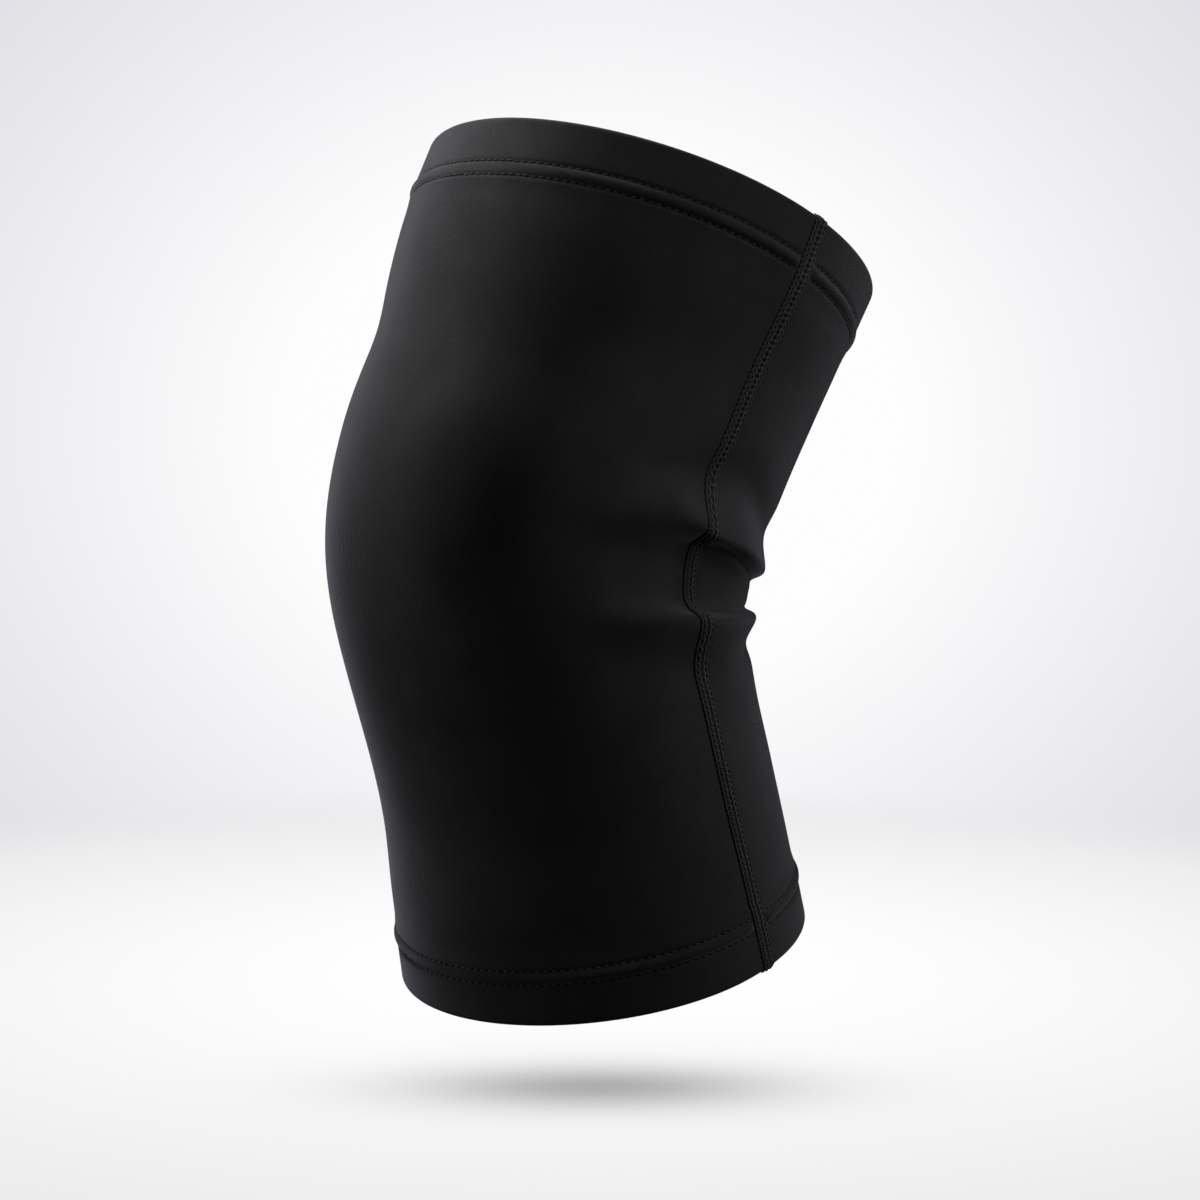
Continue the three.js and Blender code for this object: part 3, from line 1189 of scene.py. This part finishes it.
@dataclass
class HemStitches:
    """Two rows of short stitches round each hem of one panel, dark lenses of painted shade in the needle
    holes between, looping thread inside.

    Attributes:
        seat: Height above the groove of a stitch's middle line at its two ends.
        arch: How much higher it is halfway.
        tip: Share of a stitch's thickness that is left at its ends.
        uneven: Unevenness of a stitch's length as a share, of its place and of its tilt in millimetres.
        hole_end: Square of the share of a hole's width that is left at its ends.
        loop_past: How far the looping thread reaches past the outer and the inner row.
        loop_seat: Height of its middle line above the inside, as a share of its radius.
    """

    word: str
    panel: ClothPanel
    pitch: float = 2.65
    length: float = 1.45
    hole_length: float = 1.5
    hole_half_width: float = 0.27
    hole_half_height: float = 0.12
    hole_seat: float = -0.04
    half_width: float = 0.25
    half_height: float = 0.2
    seat: float = -0.14
    arch: float = 0.3
    tip: float = 0.55
    uneven: tuple[float, float, float] = (0.06, 0.06, 0.05)
    hole_end: float = 0.05
    seam_gap: float = 3.4
    arc_points: int = 1500
    dash_points: int = 7
    loop_points: int = 6
    loop_radius: float = 0.17
    loop_past: tuple[float, float] = (0.5, 1.0)
    loop_seat: float = 0.7
    loop_sharpness: float = 0.97
    sides: int = 6
    seed: int = 5

    def arc(self, along: float) -> tuple[Array, Array]:
        """Angles across the panel at one place, and the distance on the cloth to each of them.

        Args:
            along: Place along the axis.

        Returns:
            The angles and the distances.
        """
        place = np.array([along])
        first, last = (seam[0] for seam in self.panel.seams(place))
        angle = np.linspace(first, last, self.arc_points)
        return angle, travelled(self.panel.form.outside(along, angle), axis=0)

    def dashes(self, edge: Edge, inset: float, shake: np.random.Generator) -> Facets:
        """One row of stitches: thin tubes that rise from the groove and sink back into it at both ends.

        Args:
            edge: The open edge that the row runs along.
            inset: The row's distance from it.
            shake: Source of the small unevenness.

        Returns:
            The row's tubes.
        """
        form, hem = self.panel.form, self.panel.hems.at(edge)
        along = form.edge_place(edge, inset)
        angle, distance = self.arc(along)
        first = self.seam_gap + self.length / 2
        middles = np.arange(first, distance[-1] - self.seam_gap, self.pitch)[:, None]
        share = np.linspace(-1, 1, self.dash_points)[None, :]
        longer, moved, tilted = (shake.normal(0, 1, (len(middles), 3)) * self.uneven).T[..., None]
        reach = self.length / 2 * (1 + longer)
        around = np.interp(middles + share * reach, distance, angle)
        row = form.edge_place(edge, inset + hem.drift_at(around))
        place = row + moved + tilted * share
        rise = 1 - share**4
        normal = form.outward(place, around)
        bed = hem.lift(form.inset(row), around, np.ones_like(around))
        height = bed + self.seat + self.arch * rise
        centre = form.outside(place, around) + normal * height[..., None]
        slim = self.tip + (1 - self.tip) * rise
        return tubes(centre, normal, self.half_width * slim, self.half_height * slim, self.sides)

    def holes(self, edge: Edge, inset: float) -> Facets:
        """One row of needle holes, drawn as painted shade: flat dark lenses sunk into the groove between the
        stitches.

        Args:
            edge: The open edge that the row runs along.
            inset: The row's distance from it.

        Returns:
            The row's lenses.
        """
        form, hem = self.panel.form, self.panel.hems.at(edge)
        angle, distance = self.arc(form.edge_place(edge, inset))
        first = self.seam_gap + (self.length + self.pitch) / 2
        middles = np.arange(first, distance[-1] - self.seam_gap, self.pitch)[:, None]
        share = np.linspace(-1, 1, self.dash_points)[None, :]
        around = np.interp(middles + share * self.hole_length / 2, distance, angle)
        row = form.edge_place(edge, inset + hem.drift_at(around))
        slim = np.broadcast_to(np.sqrt(1 + self.hole_end - share**2), around.shape)
        normal = form.outward(row, around)
        bed = hem.lift(form.inset(row), around, np.ones_like(around))
        centre = form.outside(row, around) + normal * (bed + self.hole_seat)[..., None]
        return tubes(centre, normal, self.hole_half_width * slim, self.hole_half_height * slim, self.sides)

    def loops(self, edge: Edge, shift: float) -> Facets:
        """The looping thread on the inside, a zigzag between the rows that reaches past both.

        Args:
            edge: The open edge that it runs along.
            shift: Share of a stitch by which it is moved along.

        Returns:
            One tube.
        """
        form, hem = self.panel.form, self.panel.hems.at(edge)
        low, high = hem.rows[0] - self.loop_past[0], hem.rows[1] + self.loop_past[1]
        along = form.edge_place(edge, (low + high) / 2)
        angle, distance = self.arc(along)
        stitches = int((distance[-1] - 2 * self.seam_gap) / self.pitch)
        t = np.linspace(0, stitches, stitches * self.loop_points + 1)
        swing = zigzag(t + shift, self.loop_sharpness)
        around = np.interp(self.seam_gap + t * self.pitch, distance, angle)
        inset = (low + high) / 2 + (high - low) / 2 * swing + hem.drift_at(around)
        place = form.edge_place(edge, inset)
        normal = form.outward(place, around)
        away = np.ones_like(inset)
        depth = hem.thick(inset, around, away) - hem.lift(inset, around, away)
        centre = form.outside(place, around) - normal * (depth + self.loop_radius * self.loop_seat)[:, None]
        radius = np.full((1, len(t)), self.loop_radius)
        return tubes(centre[None], -normal[None], radius, radius, self.sides)

    def build(self, thread: bpy.types.Material, hole: bpy.types.Material) -> list[bpy.types.Object]:
        """Makes both hems' stitches as one piece and the painted shade of their needle holes as another.

        Args:
            thread: Finish of the stitches.
            hole: Near-black finish of the painted shade in the needle holes.

        Returns:
            The stitches and the needle holes' painted shade.
        """
        shake = np.random.default_rng(self.seed)
        rows = [(edge, inset) for edge in Edge for inset in self.panel.hems.at(edge).rows]
        parts = [self.dashes(edge, inset, shake) for edge, inset in rows]
        parts += [self.loops(edge, shift) for edge in Edge for shift in (0.0, 1.0)]
        stitches = Facets.joined(parts).piece(f"{self.word}_hem_stitches", thread)
        # The needle holes' painted shade, as a piece of its own
        holes = Facets.joined([self.holes(edge, inset) for edge, inset in rows])
        pieces = [stitches, holes.piece(f"{self.word}_painted_hole_shades", hole)]
        return pieces


@dataclass
class FlatlockSeam:
    """Flat seam on one side of the leg: panel edges bound by columns of stitches and crossing threads.

    Attributes:
        band, inner_band, web: Widths of the bound edges outside and inside, and of the web between them.
        low, rim, crown: Heights of the band's underside and of its rim outside, and the rise to its middle.
        foot, foot_crown: Height of its rim inside, and the rise to its middle there.
        columns, column_widths, sway: Lines of the stitch columns, half their widths, how far they sway.
        inner_reach, cross_lift: How far the inside's threads swing, and their height above the foot.
    """

    form: LegForm
    hems: Hems
    side: Side
    band: float = 5.3
    inner_band: float = 4.8
    web: float = 0.8
    low: float = -0.12
    rim: float = 0.12
    crown: float = 0.22
    foot: float = 0.22
    foot_crown: float = 0.2
    step: float = 0.62
    rim_rows: int = 7
    arch_points: int = 9
    pitch: float = 1.8
    columns: tuple[float, ...] = (-2.34, -1.04, 1.04, 2.34)
    column_widths: tuple[float, ...] = (0.4, 0.56, 0.56, 0.4)
    sway: tuple[float, ...] = (-0.1, 0.42, -0.42, 0.1)
    column_half_height: float = 0.32
    column_sides: int = 8
    bob: float = 0.1
    inner_reach: float = 1.5
    cross_lift: float = 0.12
    cross_radius: float = 0.26
    cross_sides: int = 6
    cross_sharpness: float = 0.98
    points_per_stitch: int = 8

    @property
    def word(self) -> str:
        """Name of the side, as in the CAD nodes."""
        return self.side.name.lower()

    def wrapped(self, along: Array, height: Array, face: Face) -> Array:
        """Height above the smooth cloth of a layer that follows the cloth and turns round its rim.

        Near an edge the layer's section is a circle about the middle of the rim: its height above that
        middle is the square root of the layer's squared radius less the squared distance along.

        Args:
            along: Places along the axis.
            height: Heights of the layer above the cloth's face.
            face: Face of the cloth.

        Returns:
            Heights above the smooth outside.
        """
        def read(hem: HemProfile, inset: Array) -> Array:
            """Height of the layer on one of the hems.

            Args:
                hem: The hem.
                inset: Distances from its edge.

            Returns:
                Heights above the smooth outside.
            """
            radius = hem.rim_radius
            beyond = np.maximum(radius - distance, 0.0)
            arch = np.sqrt(np.maximum((radius + height) ** 2 - beyond**2, 0.0))
            deep = inset - hem.drift_at(self.form.seam_angle(along, self.side))
            if face is Face.OUTSIDE:
                return hem.step(deep) - radius + arch
            return hem.step(deep) - (hem.layers(deep) - radius) - arch

        distance = np.minimum(self.form.thigh_edge - along, along - self.form.calf_edge)
        return self.hems.pick(along, read)

    def place(self, along: Array, across: Array, height: Array) -> tuple[Array, Array]:
        """Point beside the seam's line: turned by across over the radius, raised along the cloth's normal.

        Args:
            along: Places along the axis.
            across: Distances to the side of the seam's line, positive to the back of the leg.
            height: Heights above the smooth outside of the cloth.

        Returns:
            The points and the cloth's normals there.
        """
        line = self.form.seam_angle(along, self.side)
        around = line + self.side.value * np.degrees(across / self.form.radius(along, line))
        normal = self.form.outward(along, around)
        return self.form.outside(along, around) + normal * np.asarray(height)[..., None], normal

    def crown_at(self, across: Array) -> Array:
        """Height of the band's outside: a low arch, the crown times 1 less the square of its share across."""
        return self.rim + self.crown * (1 - (2 * across / self.band) ** 2)

    def reach(self, height: float) -> tuple[float, float]:
        """First and last place along the axis of a layer at a height above the cloth."""
        return self.form.calf_edge - height, self.form.thigh_edge + height

    def band_facets(self) -> Facets:
        """The bound panel edges: an I-shaped outline with an arched outside, carried along the seam.

        Returns:
            The band's facets, closed at both ends.
        """
        top = self.rim + self.crown
        start, end = self.reach(top)
        round_rim = round_steps(self.hems.thigh.rim_radius + top, self.rim_rows)
        middle = np.linspace(start + round_rim[-1], end - round_rim[-1], int((end - start) / self.step))
        along = np.concatenate([start + round_rim[:-1], middle, (end - round_rim[:-1])[::-1]])
        arch = np.linspace(-1, 1, self.arch_points) * self.band / 2
        web, inner = self.web / 2, self.inner_band / 2
        across = np.concatenate(
            [arch, [self.band / 2, web, web, inner, inner, 0, -inner, -inner, -web, -web, -self.band / 2]]
        )
        underside = [self.low] * 2
        foot = [self.foot, self.foot + self.foot_crown, self.foot]
        layers = (
            (np.concatenate([self.crown_at(arch), underside]), Face.OUTSIDE),
            (np.concatenate([underside, foot, underside]), Face.INSIDE),
            (np.array(underside), Face.OUTSIDE),
        )
        place = along[:, None]
        height = np.concatenate([self.wrapped(place, heights, face) for heights, face in layers], axis=1)
        points, _ = self.place(place, np.broadcast_to(across, height.shape), height)
        count = len(across)
        i = np.arange(len(along) - 1)[:, None]
        j = np.arange(count)[None, :]
        after = (j + 1) % count
        ahead = i + 1
        quads = stacked_faces(i * count + j, i * count + after, ahead * count + after, ahead * count + j)
        u = np.broadcast_to(np.append(across, across[0]), (len(along), count + 1))
        uv = np.stack([u, np.broadcast_to(along[:, None], u.shape)], axis=-1) * MM
        quad_uv = np.stack(np.broadcast_arrays(uv[:-1, :-1], uv[:-1, 1:], uv[1:, 1:], uv[1:, :-1]), axis=2)
        first = np.arange(count)[None, ::-1]
        last = np.arange(count)[None, :] + (len(along) - 1) * count
        if self.side is Side.LEFT:
            quads, quad_uv, first, last = quads[:, ::-1], quad_uv[:, :, ::-1], first[:, ::-1], last[:, ::-1]
        return Facets(points.reshape(-1, 3), quads, quad_uv.reshape(-1, 4, 2), [first, last])

    def path(self, along: Array, across: Array, lift: Array | float, face: Face) -> tuple[Array, Array]:
        """Centre line of a thread that lies on the band's outside or on its foot inside.

        Args:
            along: Places along the axis.
            across: Distances to the side of the seam's line.
            lift: Heights of the thread's middle above the band.
            face: Face of the cloth that it lies on.

        Returns:
            The line's points and the directions out of the cloth.
        """
        bed = self.crown_at(across) if face is Face.OUTSIDE else self.foot
        points, normal = self.place(along, across, self.wrapped(along, bed + lift, face))
        return points, normal * face.value

    def braid(self) -> Facets:
        """Stitch columns outside, side by side, that sway apart round a row of holes and together again.

        A column's place across is its line plus its sway times a cosine along it; columns that sway
        against each other leave a hole once in every stitch. It also rises and falls with the cosine.

        Returns:
            Tubes, one for each column.
        """
        start, end = self.reach(self.rim + self.crown)
        count = int((end - start) / self.pitch * self.points_per_stitch)
        along = np.broadcast_to(np.linspace(start, end, count), (len(self.columns), count))
        beat = np.cos(FULL_TURN * (along - start) / self.pitch)
        rows = (self.columns, self.column_widths, self.sway)
        lines, widths, sway = (np.array(row)[:, None] for row in rows)
        across = lines + sway * beat
        centre, up = self.path(along, across, self.bob * beat, Face.OUTSIDE)
        height = np.full(along.shape, self.column_half_height)
        return tubes(centre, up, np.broadcast_to(widths, along.shape), height, self.column_sides)

    def cover(self) -> Facets:
        """Two threads inside that zigzag against each other: triangle waves between the needle lines.

        Returns:
            Two tubes.
        """
        start, end = self.reach(self.rim)
        stitches = (end - start) / self.pitch
        t = np.linspace(0, stitches, int(stitches * self.points_per_stitch))[None, :] + np.zeros((2, 1))
        turn = np.array([[0.0], [1.0]])
        across = zigzag(t + turn, self.cross_sharpness) * self.inner_reach
        centre, up = self.path(start + t * self.pitch, across, self.cross_lift, Face.INSIDE)
        radius = np.full(across.shape, self.cross_radius)
        return tubes(centre, up, radius, radius, self.cross_sides)

    def build(self, cloth: bpy.types.Material, thread: bpy.types.Material) -> list[bpy.types.Object]:
        """Makes the band, which stands for the seam's CAD node, and the threads on both faces.

        Args:
            cloth: Finish of the bound panel edges.
            thread: Finish of the threads.

        Returns:
            The band and the threads.
        """
        band = self.band_facets().piece(f"{self.word}_seam_band", cloth)
        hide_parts(f"{self.word}_seam")
        threads = Facets.joined([self.braid(), self.cover()])
        stitched = threads.piece(f"{self.word}_seam_threads", thread)
        return [band, stitched]


@dataclass(frozen=True)
class Softbox:
    """One square area light that faces the object, placed by its angles from the camera's line of sight.

    Azimuth is positive to the camera's right, elevation is positive upward; metres and watts.
    """

    name: str
    azimuth: float
    elevation: float
    power: float
    target: Target = Target.SLEEVE
    distance: float = 0.9
    size: float = 0.45


@dataclass(frozen=True)
class Pool:
    """One soft round spot on the floor, for its painted glow and its painted shadow alike, in metres to the
    camera's right of and towards it from the middle.
    """

    right: float
    near: float
    reach_right: float
    reach_near: float


@dataclass
class Studio:
    """Camera at the photograph's angle, soft lights, a pale floor with a painted glow and a painted shadow,
    and a pale surround.

    Attributes:
        target_right, target_up: How far from the origin the middle of the camera's view passes.
        floor_middle: Radius of the floor's first ring of points.
        floor_clear: Radii between which the floor turns clear.
        floor_dim, floor_shadow: How much darker the floor is far from its painted glow, and in its painted
            shadow.
        fill, fill_rise: Strength of the fill from above, and the rise of a direction that has all of it.
        glow_up, glow_stretch: Height of the backdrop's glow as a direction, and its squeeze up and down.
        glow_reach: Distances from its middle where it starts to dim and where it ends.
    """

    azimuth: float = 44.0
    elevation: float = 6.3
    distance: float = 1.05
    target_right: float = 0.0156
    target_up: float = -0.0135
    lens: float = 101.6
    sensor: float = 36.0
    clip: tuple[float, float] = (0.05, 50.0)
    floor_height: float = -0.165
    floor_radius: float = 0.62
    floor_middle: float = 0.002
    floor_rings: int = 24
    floor_spokes: int = 96
    floor_clear: tuple[float, float] = (0.42, 0.58)
    floor_pale: tuple[float, float, float] = (0.8, 0.8, 0.808)
    floor_dim: float = 0.25
    floor_shadow: float = 0.545
    # Painted glow and painted shadow in the floor's colour
    floor_glow: Pool = Pool(0.0156, -0.145, 0.36, 0.36)
    floor_shade: Pool = Pool(0.015, 0.012, 0.059, 0.028)
    fill: float = 0.04
    fill_rise: float = 0.6
    fill_tone: tuple[float, float, float] = (1.0, 1.0, 1.02)
    glow_up: float = 0.05
    glow_stretch: float = 1.2
    glow_reach: tuple[float, float] = (0.0886, 0.2268)
    glow_tone: tuple[float, float, float] = (0.985, 0.985, 0.99)
    edge_tone: tuple[float, float, float] = (0.75, 0.745, 0.79)
    boxes: tuple[Softbox, ...] = (
        Softbox("left_back_high", -125, 58, 8.4),
        Softbox("left_high", -100, 45, 3.7),
        Softbox("left_low", -75, -20, 2.0),
        Softbox("left_back", -125, 10, 0.85),
        Softbox("front_high", 20, 58, 1.8),
        Softbox("right_high", 75, 35, 1.2),
        Softbox("right_side", 75, 10, 2.5),
        Softbox("right_back", 125, 10, 0.9),
        Softbox("overhead", 0, 90, 41.5, Target.FLOOR, 1.1, 2.4),
    )

    def basis(self) -> tuple[Vector, Vector, Vector]:
        """Directions of the camera from its two angles.

        Returns:
            Its right, up and backward directions.
        """
        a, e = math.radians(self.azimuth), math.radians(self.elevation)
        right = Vector((math.cos(a), math.sin(a), 0.0))
        back = Vector((math.sin(a) * math.cos(e), -math.cos(a) * math.cos(e), math.sin(e)))
        return right, back.cross(right), back

    @staticmethod
    def aim(made: bpy.types.Object, place: Vector, back: Vector) -> None:
        """Puts a camera or light in its place, looking against a direction.

        Args:
            made: The camera or light.
            place: Where it goes.
            back: The direction at its back.
        """
        made.location = place
        made.rotation_mode = "QUATERNION"
        made.rotation_quaternion = (-back).to_track_quat("-Z", "Y")

    def camera(self) -> None:
        """Sets up the scene's camera at the photograph's angle."""
        right, up, back = self.basis()
        data = bpy.data.cameras.new("camera")
        data.lens, data.sensor_width = self.lens, self.sensor
        data.clip_start, data.clip_end = self.clip
        made = linked("camera", data)
        self.aim(made, right * self.target_right + up * self.target_up + back * self.distance, back)
        bpy.context.scene.camera = made

    def lights(self, lit: dict[Target, list[bpy.types.Object]]) -> None:
        """The softboxes, each turned to the middle of the object; only its target is lit by it or shades it.

        Args:
            lit: The pieces of each target.
        """
        right, up, back = self.basis()
        groups = {}
        for target, pieces in lit.items():
            groups[target] = bpy.data.collections.new(target.value)
            for piece in pieces:
                groups[target].objects.link(piece)
        for box in self.boxes:
            data = bpy.data.lights.new(box.name, "AREA")
            data.shape = "SQUARE"
            data.size = box.size
            data.energy = box.power
            made = linked(box.name, data)
            made.light_linking.receiver_collection = groups[box.target]
            made.light_linking.blocker_collection = groups[box.target]
            a, e = math.radians(box.azimuth), math.radians(box.elevation)
            way = (right * math.sin(a) + back * math.cos(a)) * math.cos(e) + up * math.sin(e)
            self.aim(made, way * box.distance, way)

    def floor(self) -> bpy.types.Object:
        """A pale round floor below the object that fades out at its rim.

        Rings of points at rising radius, one ring for each step, with the same number of points.

        Returns:
            The floor.
        """
        rings, spokes = self.floor_rings, self.floor_spokes
        radius = np.linspace(self.floor_middle, self.floor_radius, rings)[:, None]
        turn = np.linspace(0, FULL_TURN, spokes + 1)[None, :-1]
        x, y = radius * np.cos(turn), radius * np.sin(turn)
        points = np.stack([x, y, np.full(x.shape, self.floor_height)], axis=-1).reshape(-1, 3)
        order = np.arange(rings * spokes).reshape(rings, spokes).T.ravel()
        faces = order[grid_quads(spokes, rings)][:, ::-1].tolist() + [list(range(spokes))]
        mesh = bpy.data.meshes.new("floor")
        mesh.from_pydata(points.tolist(), [], faces)
        made = linked("floor", mesh)
        mesh.materials.append(self.floor_finish())
        made.visible_diffuse = made.visible_glossy = False
        return made

    def pool(self, graph: Graph, spot: bpy.types.NodeSocket, pool: Pool) -> bpy.types.NodeSocket:
        """A hill of height 1 on the floor: e to the minus squared distance from its middle, over its reaches.

        Args:
            graph: The material's graph.
            spot: Coordinates on the floor.
            pool: The hill's middle and reaches.

        Returns:
            The hill's height.
        """
        right, _, back = self.basis()
        ahead = Vector((back.x, back.y, 0.0)).normalized()
        squares = []
        ways = ((right, pool.right, pool.reach_right), (ahead, pool.near, pool.reach_near))
        for way, middle, reach in ways:
            share = graph.vector("DOT_PRODUCT", spot, tuple(way / reach))
            offset = graph.math("SUBTRACT", share.outputs["Value"], middle / reach)
            squares.append(graph.math("MULTIPLY", offset, offset))
        return graph.math("EXPONENT", graph.math("MULTIPLY", graph.math("ADD", *squares), -1.0))

    def floor_finish(self) -> bpy.types.Material:
        """Matt pale floor with a painted glow, brightest behind the object, and a painted shadow below it,
        whose rim turns clear.

        Returns:
            The material.
        """
        made = bpy.data.materials.new("pale_floor")
        graph = empty_graph(made)
        spot = graph.node("ShaderNodeTexCoord").outputs["Object"]
        # Painted glow and painted shadow, multiplied into the floor's base colour
        glow = graph.between(self.pool(graph, spot, self.floor_glow), 1 - self.floor_dim, 1.0)
        shade = graph.between(self.pool(graph, spot, self.floor_shade), 1.0, 1 - self.floor_shadow)
        colour = graph.scaled(self.floor_pale, graph.math("MULTIPLY", glow, shade))
        flat = graph.vector("MULTIPLY", spot, (1.0, 1.0, 0.0))
        reach = graph.vector("LENGTH", flat.outputs[0])
        fade = graph.node("ShaderNodeMapRange", interpolation_type="SMOOTHSTEP", Value=reach.outputs["Value"],
                          From_Min=self.floor_clear[0], From_Max=self.floor_clear[1])
        shader = graph.node("ShaderNodeBsdfPrincipled")
        graph.feed(shader.inputs["Base Color"], colour)
        shader.inputs["Roughness"].default_value = 1.0
        shader.inputs["Specular IOR Level"].default_value = 0.0
        graph.feed(shader.inputs["Alpha"], graph.between(fade.outputs[0], 1.0, 0.0))
        target = graph.node("ShaderNodeOutputMaterial")
        graph.feed(target.inputs["Surface"], shader.outputs["BSDF"])
        return made

    def surround(self) -> None:
        """Pale backdrop for the camera, dimmer away from the object, and a dim fill from above besides."""
        world = bpy.data.worlds.new("studio")
        bpy.context.scene.world = world
        graph = empty_graph(world)
        right, up, _ = self.basis()
        way = graph.node("ShaderNodeTexCoord").outputs["Generated"]
        offsets = []
        for axis, middle, stretch in ((right, 0.0, 1.0), (up, self.glow_up, self.glow_stretch)):
            share = graph.vector("DOT_PRODUCT", way, tuple(axis * stretch))
            offsets.append(graph.math("SUBTRACT", share.outputs["Value"], middle * stretch))
        place = graph.node("ShaderNodeCombineXYZ", X=offsets[0], Y=offsets[1])
        away = graph.vector("LENGTH", place.outputs[0])
        dimmer = graph.node("ShaderNodeMapRange", Value=away.outputs["Value"],
                            From_Min=self.glow_reach[0], From_Max=self.glow_reach[1])
        shade = graph.mixed(dimmer.outputs[0], (*self.glow_tone, 1.0), (*self.edge_tone, 1.0))
        seen = graph.node("ShaderNodeBackground", Color=shade, Strength=1.0)
        rise = graph.node("ShaderNodeSeparateXYZ", Vector=way)
        dim = graph.node("ShaderNodeMapRange", interpolation_type="SMOOTHSTEP", Value=rise.outputs["Z"],
                         From_Min=-self.fill_rise, From_Max=self.fill_rise, To_Min=0.0, To_Max=self.fill)
        fill = graph.node("ShaderNodeBackground", Color=(*self.fill_tone, 1.0), Strength=dim.outputs[0])
        pick = graph.node("ShaderNodeMixShader")
        graph.feed(pick.inputs[0], graph.node("ShaderNodeLightPath").outputs["Is Camera Ray"])
        graph.feed(pick.inputs[1], fill.outputs[0])
        graph.feed(pick.inputs[2], seen.outputs[0])
        target = graph.node("ShaderNodeOutputWorld")
        graph.feed(target.inputs["Surface"], pick.outputs[0])

    def build(self, pieces: list[bpy.types.Object]) -> None:
        """Sets up the whole studio around the sleeve's pieces.

        Args:
            pieces: The sleeve's pieces.
        """
        self.camera()
        self.lights({Target.SLEEVE: pieces, Target.FLOOR: [self.floor()]})
        self.surround()
        bpy.context.scene.view_settings.view_transform = "Standard"


def report(piece: bpy.types.Object) -> None:
    """Logs a piece's name and how many faces it has."""
    LOG.info("%s: %d faces", piece.name, len(piece.data.polygons))


def main() -> None:
    """Builds and dresses the sleeve's pieces in order, then the studio."""
    logging.basicConfig(level=logging.INFO, format="%(name)s %(message)s")
    form, effects = LegForm(), Effects()
    hems = Hems(form)
    cloth, seam_cloth = CLOTH.material(effects), SEAM_CLOTH.material(effects)
    seam_thread, hem_thread = SEAM_THREAD.material(effects), HEM_THREAD.material(effects)
    painted_hole_shade = PAINTED_HOLE_SHADE.material(effects)

    front = ClothPanel(
        "front_cloth", "front_panel", form, hems, first=Side.LEFT, last=Side.RIGHT,
        columns=118, flat=(0.19, 0.28), flat_area=0.05,
    )
    back = ClothPanel(
        "back_cloth", "back_panel", form, hems, first=Side.RIGHT, last=Side.LEFT,
        columns=108, flat=(0.175, 0.28), flat_area=0.046,
    )
    seams = [FlatlockSeam(form, hems, side) for side in Side]
    bands, pieces = [], []
    for seam in seams:
        made = seam.build(seam_cloth, seam_thread)
        bands.append(made[0].name)
        pieces += made
    for panel, word in ((front, "front"), (back, "back")):
        piece = panel.build(cloth)
        stitches = HemStitches(word, panel).build(hem_thread, painted_hole_shade)
        panel.declare(piece, held_by=bands, with_pieces=stitches)
        pieces += [piece, *stitches]
    for piece in pieces:
        report(piece)
    Studio().build(pieces)


if __name__ == "__main__":
    main()
